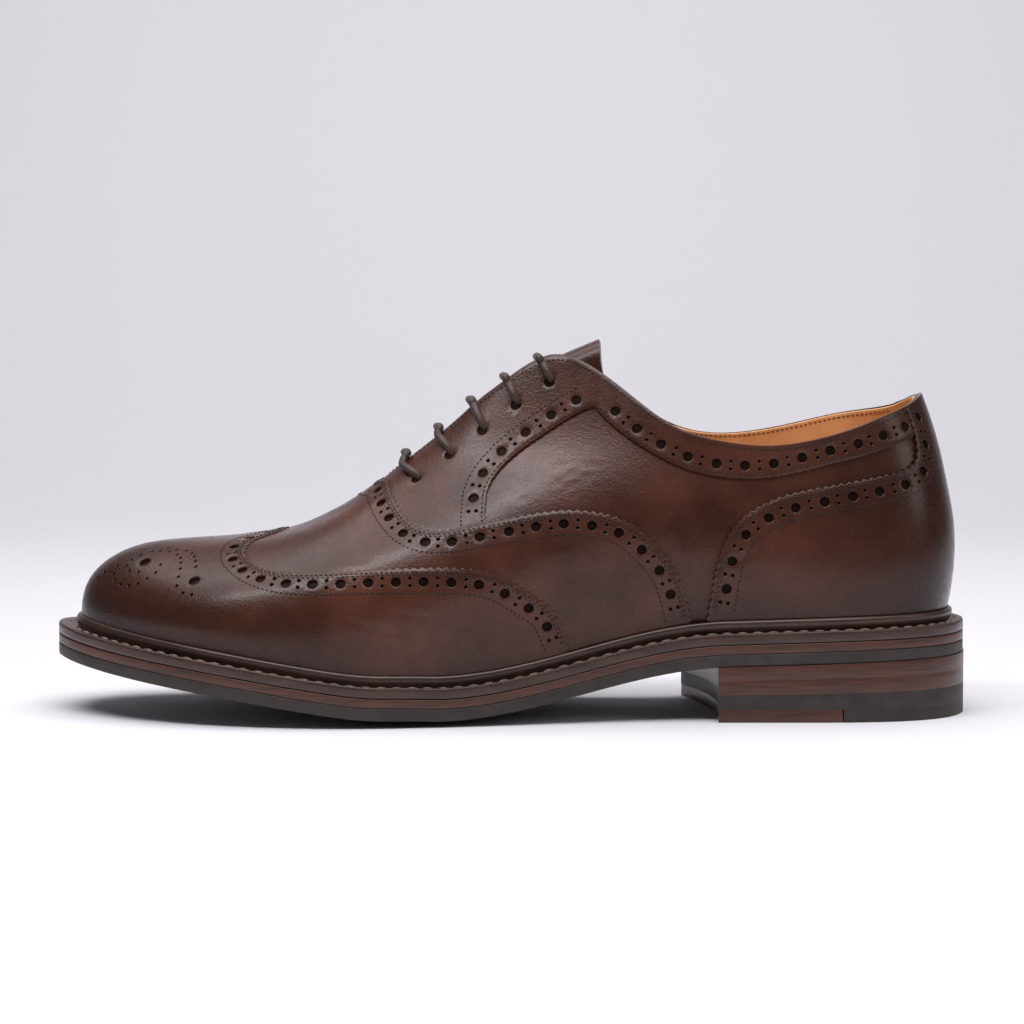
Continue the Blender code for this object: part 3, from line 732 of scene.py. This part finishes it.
facing_outer = facing(0)
facing_inner = facing(1)
rows = rows_by(FACING, FACING_TOP, (0.0009, INNER_ROW)) + rows_by(COLLAR, FACING_TOP, (0.0009,))
s_rim = np.linspace(0.13, 0.97, 500)
for d in (0.0011,):
    line = beside(np.column_stack([s_rim, top(s_rim)]), np.full(500, d))
    rows += [row_on(line, FACING_TOP), row_on(mirrored(line), FACING_TOP)]
facing_stitches = thread("facing_stitches", rows, DARK_THREAD)

LINING_THREAD = plain("lining_thread", (0.30, 0.12, 0.035), 0.7)
rows = []
for s_rim in (np.linspace(0.13, 0.90, 500), np.linspace(1.10, 1.87, 500)):
    points, normals = skin(s_rim, top(s_rim) - 0.018, -0.0021)
    rows.append((points, -normals))
lining_stitches = thread("lining_stitches", rows, LINING_THREAD)


# Vamp
# One piece of calf over the ball of the foot and under the wing tip. Its toothed
# rear edge is stitched down over the quarters and the feet of the facings.
VAMP_TOP = 0.0014
WING = (
    (0.459, 0.020), (0.463, 0.100), (0.472, 0.192), (0.484, 0.264), (0.500, 0.320),
    (0.519, 0.375), (0.539, 0.419), (0.564, 0.447), (0.593, 0.463), (0.624, 0.473),
    (0.655, 0.479), (0.690, 0.481), (0.722, 0.484), (0.755, 0.498), (0.797, 0.541),
    (0.842, 0.595), (0.880, 0.655), (0.923, 0.725), (0.960, 0.759), (1.000, 0.775),
)


def vamp():
    """The vamp, whose front edge lies 2 mm under the wing tip."""
    rear = toothed(VAMP)
    rear = rear[rear[:, 1] > 0.022]
    front = beside(walk(WING, 0.0016), 0.0018)
    front = front[(front[:, 1] > 0.022) & (front[:, 0] < 0.998)]
    rear[-1] = (1.0, rear[-1][1])
    half = np.concatenate([rear, [(1.0, front[-1, 1])], front[::-1]])
    rear_all = np.concatenate([rear, mirrored(rear)[1:]])
    front_all = np.concatenate([front, [(1.0, front[-1, 1])], mirrored(front)])
    loop = np.concatenate([rear_all, front_all[::-1]])
    large, small = brogued(VAMP, 0.4)
    keep = (large[:, 1] > 0.10)
    large = large[keep]
    small = small[small[:, 1] > 0.10]
    holes = []
    for centres, r, shape in ((large, BIG, HOLE), (small, SMALL, PIN)):
        near = centres[centres[:, 0] < 0.985]
        holes.append((np.concatenate([near, mirrored(near)]), r, shape))
    return panel("vamp_calf", loop, VAMP_TOP, 0.0002, holes, CALF)


vamp_calf = vamp()
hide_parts("vamp")
rows = rows_by([p for p in VAMP if p[1] > 0.08], VAMP_TOP, (0.0009, 0.0018, INNER_ROW))
vamp_stitches = thread("vamp_stitches", rows, DARK_THREAD)


# Wing tip
# The toe's outer layer: a W-shaped piece of calf with its peak on the vamp,
# toothed, punched and stitched like the rest, a rosette of holes on its middle.
WING_TOP = 0.0018
ROSETTE_BIG = ((0.902, 0.390), (0.803, 0.380), (1.0, 0.330), (1.0, 0.440))
ROSETTE = (
    (0.915, 0.285), (0.899, 0.267), (0.882, 0.261), (0.868, 0.272), (0.859, 0.293),
    (0.858, 0.331), (0.861, 0.369), (0.876, 0.409), (0.915, 0.340), (0.898, 0.330),
    (0.883, 0.342), (0.876, 0.470), (0.861, 0.450), (0.845, 0.423), (0.827, 0.382),
    (0.811, 0.336), (0.794, 0.308), (0.783, 0.309), (0.897, 0.509), (0.882, 0.508),
    (0.867, 0.498), (0.852, 0.481), (0.835, 0.454), (0.930, 0.319), (0.926, 0.368),
    (0.930, 0.402), (0.931, 0.438), (0.922, 0.456), (0.912, 0.475), (0.926, 0.482),
    (0.912, 0.497), (0.891, 0.477), (0.938, 0.268), (0.943, 0.234),
)


def wing():
    """The wing tip, from welt to welt over the toe."""
    edge = toothed(WING)
    edge = edge[edge[:, 1] > 0.022]
    edge[-1] = (1.0, edge[-1][1])
    foot_s = np.linspace(2 - edge[0, 0], edge[0, 0], 520)
    foot = np.column_stack([foot_s, 0 * foot_s + 0.020])
    loop = np.concatenate([edge, mirrored(edge)[1:], foot[1:-1]])
    large, small = brogued(WING, 0.4)
    holes = []
    for centres, r, shape in ((large, BIG, HOLE), (small, SMALL, PIN)):
        near = centres[(centres[:, 1] > 0.10) & (centres[:, 0] < 0.985)]
        holes.append((np.concatenate([near, mirrored(near)]), r, shape))
    for centres, r, shape in ((ROSETTE_BIG, 0.0019, HOLE), (ROSETTE, 0.0006, PIN)):
        near = np.array(centres)
        other = mirrored(near[near[:, 0] < 0.999])
        holes.append((np.concatenate([near, other]), r, shape))
    return panel("wing_calf", loop, WING_TOP, 0.0005, holes, CALF)


wing_calf = wing()
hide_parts("toe_cap")
rows = rows_by([p for p in WING if p[1] > 0.08], WING_TOP, (0.0009, 0.0018, INNER_ROW))
wing_stitches = thread("wing_stitches", rows, DARK_THREAD)


# Heel counter
# Calf round the back of the heel, with a strip that runs up the seam to the
# topline over the ends of the collar bands. Toothed, punched and stitched.
COUNTER_TOP = 0.0015
COUNTER = (
    (0.126, 1.004), (0.124, 0.937), (0.124, 0.861), (0.128, 0.785), (0.139, 0.735),
    (0.160, 0.706), (0.190, 0.693), (0.232, 0.685), (0.272, 0.677), (0.305, 0.664),
    (0.328, 0.637), (0.343, 0.595), (0.355, 0.535), (0.361, 0.447), (0.361, 0.332),
    (0.358, 0.213), (0.357, 0.120), (0.356, 0.020),
)


def counter():
    """The counter: down its outer edge, round the foot, up, and along the rim."""
    edge = toothed(COUNTER)
    edge = edge[edge[:, 1] > 0.022]
    foot_s = np.linspace(edge[-1, 0], -edge[-1, 0], 240)[1:-1]
    foot = np.column_stack([foot_s, 0 * foot_s + 0.020])
    back = np.column_stack([-edge[:, 0], edge[:, 1]])[::-1]
    rim_s = np.linspace(-edge[0, 0], edge[0, 0], 50)[1:-1]
    rim = np.column_stack([rim_s, top(rim_s) + 0.004])
    loop = np.concatenate([edge, foot, back, rim])
    large, small = brogued(COUNTER, 0.5)
    holes = []
    for centres, r, shape in ((large, BIG, HOLE), (small, SMALL, PIN)):
        near = centres[(centres[:, 1] > 0.10) & (centres[:, 1] < 0.975)]
        other = np.column_stack([-near[:, 0], near[:, 1]])
        holes.append((np.concatenate([near, other]), r, shape))
    return panel("counter_calf", loop, COUNTER_TOP, -0.0002, holes, CALF)


counter_calf = counter()
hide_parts("counter")
COUNTER_LINE = [p for p in COUNTER if p[1] > 0.08]
rows = rows_by(COUNTER_LINE, COUNTER_TOP, (0.0009, 0.0018, INNER_ROW))
counter_stitches = thread("counter_stitches", rows, DARK_THREAD)


# Tongue
# A calf tongue that lies arched under the lacing, its end standing past the
# tops of the facings; its tan lining and the seam round its end are not built.
WALL, TONGUE = 0.0020, 0.0024


def tongue_place(a, b, c):
    """Point of the tongue: along, across and through it, each from 0 to 1."""
    s = 0.975 - 0.35 * np.minimum(a / 0.86, 1)
    knots = []
    for side, shares in ((1, (0.86, 0.93, 1.0)), (-1, (1.0, 0.93, 0.86))):
        for share in shares:
            at = s if side == 1 else 2 - s
            sunk = WALL + 3 * GAP + TONGUE * c + 0.5 * WALL * (share - 0.86) / 0.14
            knots.append(skin(at, share * top(at), -sunk)[0])
    knots = np.array(knots)
    far = np.maximum(a - 0.86, 0)[:, None] / 0.14
    knots = knots + np.array([0.022, 0, 0.0062]) * far
    knots[:, :, 1] *= 1 - 0.15 * far.T
    out = np.zeros((len(a), 3))
    for i in range(len(a)):
        out[i] = curve(knots[:, i], b[i:i + 1])[0]
    side = (2 * b - 1) ** 2 * far[:, 0]
    out[:, 0] += 0.026 * side - 0.007 * far[:, 0]
    out[:, 2] -= 0.0010 * side
    return out


def block(name, columns, rows, place, finish, bevel=0.0, layers=1):
    """A grid block, columns x rows, one layer through, bent into shape by place(a, b, c); layers is not
    used.
    """
    bm = bmesh.new()
    bmesh.ops.create_grid(bm, x_segments=columns, y_segments=rows, size=0.5)
    made = bmesh.ops.extrude_face_region(bm, geom=bm.faces[:])["geom"]
    for v in made:
        if isinstance(v, bmesh.types.BMVert):
            v.co.z = 1
    co = np.array([v.co for v in bm.verts]) + (0.5, 0.5, 0)
    for v, p in zip(bm.verts, place(co[:, 0], co[:, 1], co[:, 2]) + MIDDLE):
        v.co = p
    bmesh.ops.remove_doubles(bm, verts=bm.verts, dist=0.00001)
    bmesh.ops.recalc_face_normals(bm, faces=bm.faces)
    if bevel:
        sharp = [e for e in bm.edges if e.calc_face_angle(0) > 0.9]
        bmesh.ops.bevel(bm, geom=sharp, offset=bevel, segments=3, affect="EDGES",
                        profile=0.5, material=-1, clamp_overlap=True)
    return mesh_of(name, bm, finish, 50)


tongue_calf = block("tongue_calf", 90, 40, tongue_place, CALF)
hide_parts("tongue")
marked(tongue_calf, "burnish", np.full(len(tongue_calf.data.vertices), 0.15))


# Laces
# One waxed round cord. Each bar comes up through the punched eyelet of one
# facing and goes down into the one across; the rest lies under the facings.
LACE = 0.0027
CORD = plain("waxed_cord_finish", (0.050, 0.026, 0.019), 0.50, 2200.0)


def bar(k):
    """Middle line of one bar: out of an eyelet, square over the ridge, and in."""
    s0, v0 = EYELETS[k]
    v0 += 0.006
    eye = last(np.array([s0]), np.array([v0]))[0]
    s = np.linspace(s0 - 0.10, 0.99, 300)
    rim = last(s, top(s))
    s1 = np.interp(0.0034 - eye[0], -rim[:, 0], s)
    share = np.array([0, 0, 0.12, 0.36, 0.62, 0.88, 1.0])
    s = s0 + (s1 - s0) * share
    v = v0 + (top(np.array([s1]))[0] - v0) * share
    v[0] -= 0.006
    up = FACING_TOP + 0.5 * LACE
    off = np.array([-0.0030, -0.0006, up - 0.0006, up + 0.0003, up, up + 0.0001, up + 0.0003])
    left = skin(s, v, off)[0]
    right = skin(2 - s, v, off)[0][::-1]
    middle = 0.5 * (left[-1:] + right[:1])
    middle += (-0.0008, 0, 0.0004)
    return curve(np.concatenate([left, middle, right]), np.linspace(0, 1, 150))


def tube(path, r, turns, finish, name, braid):
    """A round cord along a path, its strands as low ribs."""
    along = unit(np.gradient(path, axis=0))
    up = np.tile((0.3, 0.0, 0.954), (len(path), 1))
    side = unit(np.cross(along, up))
    up = np.cross(side, along)
    run = np.concatenate([[0], np.cumsum(np.linalg.norm(np.diff(path, axis=0), axis=1))])
    bm = bmesh.new()
    bmesh.ops.create_grid(bm, x_segments=len(path) - 1, y_segments=turns, size=0.5)
    co = np.array([v.co for v in bm.verts]) + 0.5
    i = np.rint(co[:, 0] * (len(path) - 1)).astype(int)
    w = 2 * math.pi * co[:, 1]
    ribs = np.sin(run[i] / braid * 2 * math.pi + 2 * w) * np.sin(run[i] / braid * 2 * math.pi - 2 * w)
    size = r * (0.965 + 0.05 * ribs)
    p = path[i] + side[i] * (np.cos(w) * size)[:, None] + up[i] * (np.sin(w) * size)[:, None]
    for v, q in zip(bm.verts, p + MIDDLE):
        v.co = q
    bmesh.ops.remove_doubles(bm, verts=bm.verts, dist=0.00001)
    bmesh.ops.holes_fill(bm, edges=[e for e in bm.edges if len(e.link_faces) == 1])
    bmesh.ops.recalc_face_normals(bm, faces=bm.faces)
    return mesh_of(name, bm, finish, 70)


for k in range(5):
    cord = tube(bar(k), LACE / 2, 20, CORD, "lace_%d" % (k + 1), 0.0021)
    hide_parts("lace_bar_%d" % (k + 1))


# Insole
# A tan sock lining glued on the insole board, its edge against the lining.
INSOLE = 0.0042


def rim_at(s, out):
    """Plan outline at the welt's level, out from the upper."""
    e = 1e-4
    foot = np.zeros(len(s))
    d = (last(s + e, foot) - last(s - e, foot))[:, :2]
    n = unit(np.column_stack([d[:, 1], -d[:, 0]]))
    return last(s, foot)[:, :2] - n * np.reshape(out + 0 * s, (-1, 1))


def layer(name, out, low, high, finish, around=560, soft=0.0005, groove=0.0):
    """A flat layer of the bottom: its rim at out(s), its edges rounded a little."""
    shape = [(0.0, None, 1), (0.35, None, 1), (0.7, None, 1), (0.92, None, 1),
             (1, -3 * soft, 1), (1, -1.5 * soft, 1)]
    for k in range(5):
        w = math.pi / 2 * k / 4
        shape.append((1, -soft * (1 - math.sin(w)), (1, -soft * (1 - math.cos(w)))))
    for k in range(5):
        w = math.pi / 2 * (1 - k / 4)
        shape.append((1, -soft * (1 - math.sin(w)), (0, soft * (1 - math.cos(w)))))
    shape += [(1, -1.5 * soft, 0), (1, -3 * soft, 0), (0.92, None, 0), (0.7, None, 0),
              (0.35, None, 0), (0.0, None, 0)]

    def place(s, b):
        i = np.rint(b * (len(shape) - 1)).astype(int)
        rim, other = rim_at(s, out(s)), rim_at(2 - s, out(2 - s))
        centre = 0.5 * (rim + other)
        share = np.array([q[0] for q in shape], float)[i]
        inset = np.array([q[1] or 0.0 for q in shape], float)[i]
        end = rim_at(s, out(s) + inset)
        xy = np.where((share < 1)[:, None], centre + (rim - centre) * share[:, None] * 0.97, end)
        level = np.array([q[2] if isinstance(q[2], int) else q[2][0] for q in shape], float)[i]
        extra = np.array([0.0 if isinstance(q[2], int) else q[2][1] for q in shape])[i]
        z = low(*xy.T) + (high(*xy.T) - low(*xy.T)) * level + extra
        return np.column_stack([xy, z])

    return wrapped_ring(name, around, len(shape) - 1, place, finish, 50)


def level(up):
    """Height of a layer's face, so far over the sole's underside."""
    def height(x, y):
        return bottom(x, y) + up
    return height


BASE = OUTSOLE + MIDSOLE + GAP
sock = layer("sock", lambda s: 0 * s - (INSET + WALL + GAP), level(BASE),
             level(BASE + INSOLE), TAN, 360)
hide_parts("insole")


# Welt
# A storm welt: a strip of dark leather sewn to the upper, its ridge against the
# leather, its flat stitched to the soles with light thread, its edge wheeled.
WELT_WIDTH, RIDGE = 0.0079, 0.0042
WELT_OUTER = (0.77, 0.76, 0.73, 0.74, 0.86, 0.99, 1.00, 1.00, 1.00)
WELT_INNER = (0.77, 0.76, 0.73, 0.72, 0.76, 0.96, 1.00, 1.00, 1.00)
# out (shares of the welt's width below the ridge, of RIDGE in it), up, ridge
WELT_SHAPE = (
    (-0.42, 0.0, 0), (0.40, 0.0, 0), (0.97, 0.0, 0), (1.0, 0.09, 0), (1.0, 0.30, 0),
    (1.0, 0.62, 0), (0.995, 0.78, 0), (0.975, 0.90, 0), (0.945, 0.97, 0), (0.90, 1.0, 0),
    (0.82, 1.0, 0), (0.72, 0.985, 0), (0.65, 0.96, 0), (0.58, 0.955, 0), (0.50, 0.965, 0),
    (0.44, 0.95, 0), (0.38, 0.86, 0), (0.335, 0.84, 0), (0.62, 0.02, 1), (0.66, 0.16, 1),
    (0.70, 0.36, 1), (0.71, 0.56, 1), (0.67, 0.76, 1), (0.58, 0.91, 1), (0.46, 0.985, 1),
    (0.34, 0.99, 1), (0.24, 0.93, 1), (0.16, 0.82, 1), (0.10, 0.60, 1), (0.0, 0.20, 1),
)


def width(s):
    """Width of the welt round the shoe."""
    return WELT_WIDTH * curve(np.array(both(WELT_OUTER, WELT_INNER))[:, None], s / 2, True)[:, 0]


def welt_place(s, b):
    """Round the closed profile of the welt."""
    shape = np.array(WELT_SHAPE + WELT_SHAPE[:1])
    i = np.rint(b * (len(shape) - 1)).astype(int)
    out, up, ridge = shape[i].T
    ridge = ridge > 0.5
    reach = np.where(ridge, GAP - INSET + RIDGE * out, np.where(out < 0, out * WELT_WIDTH, out * width(s)))
    rise = np.where(ridge, WELT + RIDGE * up, WELT * up)
    foot = rim_at(s, reach)
    v = 0.2 * np.clip(rise - WELT, 0, 1) / 0.014
    foot += (last(s, v) - last(s, 0 * v))[:, :2] * ridge[:, None]
    z = bottom(*foot.T) + OUTSOLE + MIDSOLE + rise + GAP * (1 - ridge)
    return np.column_stack([foot, z])


def run_round(piece):
    """Distance round the shoe at each point, for marks that follow the edge."""
    s = np.linspace(0, 2, 4001)
    rim = rim_at(s, width(s))
    run = np.concatenate([[0], np.cumsum(np.linalg.norm(np.diff(rim, axis=0), axis=1))])
    tree = KDTree(len(rim))
    for i, q in enumerate(rim + MIDDLE[:2]):
        tree.insert((*q, 0), i)
    tree.balance()
    marked(piece, "run", [run[tree.find((v.co.x, v.co.y, 0))[1]] for v in piece.data.vertices])
    co = np.array([v.co for v in piece.data.vertices]) - MIDDLE
    up = co[:, 2] - bottom(co[:, 0], co[:, 1]) - OUTSOLE - MIDSOLE
    marked(piece, "wheeled", (np.abs(up - 0.93 * WELT - GAP) < 0.0007) * 1.0)


def edge_leather(name, colour, dark, roughness, stripes=900.0, wheel=0.0):
    """Burnished leather edge with level streaks, and ribs where it was wheeled."""
    mat, tree, shader, node = nodes_of(name, colour, roughness)
    place = node("ShaderNodeTexCoord").outputs["Object"]
    squeeze = node("ShaderNodeMapping", Vector=place)
    squeeze.inputs["Scale"].default_value = (60.0, 60.0, stripes)
    streak = node("ShaderNodeTexNoise", Vector=squeeze.outputs[0], Scale=1.0, Detail=4.0)
    ramp = node("ShaderNodeValToRGB", Fac=streak.outputs[0])
    ramp.color_ramp.elements[0].position = 0.32
    ramp.color_ramp.elements[0].color = (*dark, 1)
    ramp.color_ramp.elements[1].position = 0.62
    ramp.color_ramp.elements[1].color = (*colour, 1)
    tree.links.new(ramp.outputs[0], shader.inputs["Base Color"])
    height = streak.outputs[0]
    depth = 0.00015
    if wheel:
        run = node("ShaderNodeAttribute", attribute_name="run")
        turn = node("ShaderNodeMath", operation="MULTIPLY")
        tree.links.new(run.outputs["Fac"], turn.inputs[0])
        turn.inputs[1].default_value = 2 * math.pi / wheel
        wave = node("ShaderNodeMath", operation="SINE")
        tree.links.new(turn.outputs[0], wave.inputs[0])
        shown = node("ShaderNodeMath", operation="MULTIPLY")
        tree.links.new(wave.outputs[0], shown.inputs[0])
        wheeled = node("ShaderNodeAttribute", attribute_name="wheeled")
        tree.links.new(wheeled.outputs["Fac"], shown.inputs[1])
        height, depth = shown.outputs[0], 0.00012
    bend = node("ShaderNodeBump", Distance=depth, Strength=0.6, Height=height)
    tree.links.new(bend.outputs[0], shader.inputs["Normal"])
    shader.inputs["Coat Weight"].default_value = 0.15
    shader.inputs["Coat Roughness"].default_value = 0.25
    return mat


WELT_LEATHER = edge_leather("welt_leather", (0.060, 0.026, 0.018), (0.030, 0.013, 0.009), 0.36,
                            400.0, 0.0011)
welt_strip = wrapped_ring("welt_strip", 900, len(WELT_SHAPE), welt_place, WELT_LEATHER, 45)
run_round(welt_strip)
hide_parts("welt")
LIGHT_THREAD = plain("light_thread", (0.23, 0.145, 0.11), 0.6)


def welt_row():
    """The lockstitch that holds welt, midsole and outsole together."""
    s = np.linspace(0, 2, 6000)
    out = 0.60 * width(s)
    xy = rim_at(s, out)
    z = bottom(*xy.T) + OUTSOLE + MIDSOLE + GAP + WELT * 0.955
    return np.column_stack([xy, z]), np.tile((0.0, 0.0, 1.0), (len(s), 1))


welt_stitches = thread("welt_stitches", [welt_row()], LIGHT_THREAD,
                       0.0037, 0.0010, 0.0050)


# Midsole
# A layer of red-brown vegetable-tanned leather between welt and outsole.
STACKED = edge_leather("stacked_leather_finish", (0.092, 0.028, 0.014), (0.036, 0.012, 0.0065), 0.42)
midsole_layer = layer("midsole_layer", width, level(OUTSOLE), level(OUTSOLE + MIDSOLE), STACKED,
                      560, 0.0004)
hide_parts("midsole")


# Outsole
# Dark rubber, cut flush with the welt, from toe to heel.
RUBBER = plain("rubber_finish", (0.034, 0.024, 0.020), 0.55, 900.0, 0.00008)
outsole_layer = layer("outsole_layer", width, level(0), level(OUTSOLE), RUBBER, 560, 0.0006)
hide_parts("outsole")


# Heel
# Two stacked leather lifts on a rubber pad; under them a rubber top piece with
# a leather front. All are cut flush and burnished; the front face is bowed.
HEEL_LENGTH, HEEL_SLANT, HEEL_BOW = 0.085, 0.008, 0.004
TOP_PIECE, TOP_PIECE_LENGTH = 0.0042, 0.044


def heel_rim(s):
    """Plan outline of the heel."""
    return rim_at(s, width(s) + GAP)


def reach(x):
    """s on the outer and the inner side where the heel's outline passes x."""
    s = np.linspace(0, 0.6, 400)
    return (np.interp(-x, -heel_rim(s)[:, 0], s), np.interp(-x, -heel_rim(2 - s)[:, 0], s))


def lift(name, low, high, finish, ends, starts=(0.0, 0.0), bow=0.0, soft=0.0003):
    """A layer of the heel between starts and ends on the outer and inner side."""
    def place(a, b, c):
        left = heel_rim(starts[0] + a * (ends[0] - starts[0]))
        right = heel_rim(2 - starts[1] - a * (ends[1] - starts[1]))
        xy = left + (right - left) * b[:, None]
        xy[:, 0] += bow * 4 * b * (1 - b) * a ** 4
        z = np.where(c < 0.5, low(*xy.T), high(*xy.T))
        return np.column_stack([xy, z])

    piece = block(name + "_layer", 110, 16, place, finish, soft)
    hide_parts(name)


def share(part, gap):
    """Height of a face that divides the space under the sole."""
    def height(x, y):
        return bottom(x, y) * part + gap
    return height


def flat(z):
    """Height of a level face."""
    def height(x, y):
        return np.full(len(x), z)
    return height


back = heel_rim(np.zeros(1))[0, 0]
ends = (reach(back - HEEL_LENGTH)[0], reach(back - HEEL_LENGTH - HEEL_SLANT)[1])
cut = reach(back - TOP_PIECE_LENGTH)
starts = reach(back - TOP_PIECE_LENGTH - GAP)
lift("heel_lift_upper", share(0.75, 0), share(1, 0), STACKED, ends, bow=HEEL_BOW)
lift("heel_lift_lower", share(0.50, 0), share(0.75, 0), STACKED, ends, bow=HEEL_BOW)
lift("heel_pad", flat(TOP_PIECE), share(0.50, 0), RUBBER, ends, bow=HEEL_BOW)
lift("top_piece", flat(0), flat(TOP_PIECE), RUBBER, cut)
lift("top_piece_front", flat(0), flat(TOP_PIECE), STACKED, ends, starts, HEEL_BOW)


# Studio
# A pale lavender-grey sweep under a wide soft light, seen from the outer side.
mat, tree, shader, node = nodes_of("paper", (0.86, 0.85, 0.89), 0.95)
place = node("ShaderNodeTexCoord").outputs["Object"]
# The paper is painted dark in front of the camera, out of frame: painted shade for an unlit studio front,
# which keeps the floor's bright reflection off the shoe's sides.
depth = node("ShaderNodeSeparateXYZ", Vector=place).outputs["Y"]
fade = node("ShaderNodeMapRange", Value=depth, From_Min=-1.1, From_Max=-0.5)
ramp = node("ShaderNodeValToRGB", Fac=fade.outputs[0])
ramp.color_ramp.elements[0].color = (0.22, 0.215, 0.24, 1)
ramp.color_ramp.elements[1].color = (0.86, 0.85, 0.89, 1)
tree.links.new(ramp.outputs[0], shader.inputs["Base Color"])
BEND, RADIUS = 0.9, 1.7
bm = bmesh.new()
bmesh.ops.create_grid(bm, x_segments=4, y_segments=90, size=1)
for v in bm.verts:
    t = (v.co.y + 1) * 3.6
    turn = min(max(t - 1.8 - BEND, 0), 1.5 * RADIUS) / RADIUS
    v.co.x *= 5
    v.co.y = -1.8 + min(t, 1.8 + BEND) + RADIUS * math.sin(turn)
    v.co.z = RADIUS * (1 - math.cos(turn)) + max(t - 1.8 - BEND - 1.5 * RADIUS, 0)
mesh = bpy.data.meshes.new("sweep")
bm.to_mesh(mesh)
bm.free()
mesh.shade_smooth()
mesh.materials.append(mat)
sweep = bpy.data.objects.new("sweep", mesh)
bpy.context.scene.collection.objects.link(sweep)

world = bpy.data.worlds.new("studio")
world.use_nodes = True
world.node_tree.nodes["Background"].inputs[0].default_value = (0.80, 0.79, 0.86, 1)
world.node_tree.nodes["Background"].inputs[1].default_value = 0.12
bpy.context.scene.world = world
bpy.context.scene.view_settings.view_transform = "Standard"

for name, place, aim, size, power, colour in (
    ("top_light", (0.0, 0.12, 1.05), (0, 0, 0.0), (1.5, 1.0), 11, (1.0, 0.99, 1.0)),
    ("sweep_light", (0.0, 1.2, 1.5), (0, 2.8, 0.4), (2.4, 1.0), 17, (1.0, 0.985, 1.0)),
    ("strip_light", (-0.1, -0.46, 0.92), (0, 0, 0.05), (1.1, 0.15), 6.5, (0.98, 0.97, 1.0)),
        ("side_light", (1.3, -0.6, 0.7), (0, 0, 0.06), (0.5, 0.5), 2, (1.0, 0.98, 0.96)),
):
    light = bpy.data.lights.new(name, "AREA")
    light.shape = "RECTANGLE"
    light.size, light.size_y = size
    light.energy = power
    light.color = colour
    lamp = bpy.data.objects.new(name, light)
    lamp.location = place
    lamp.rotation_euler = (Vector(aim) - Vector(place)).to_track_quat("-Z", "Y").to_euler()
    bpy.context.scene.collection.objects.link(lamp)

lens = bpy.data.cameras.new("camera")
lens.lens, lens.sensor_width = 100, 36
camera = bpy.data.objects.new("camera", lens)
camera.location = (0.0003, -0.9559, 0.1290)
camera.rotation_euler = (math.radians(90 - 3.74), 0, 0)
bpy.context.scene.collection.objects.link(camera)
bpy.context.scene.camera = camera
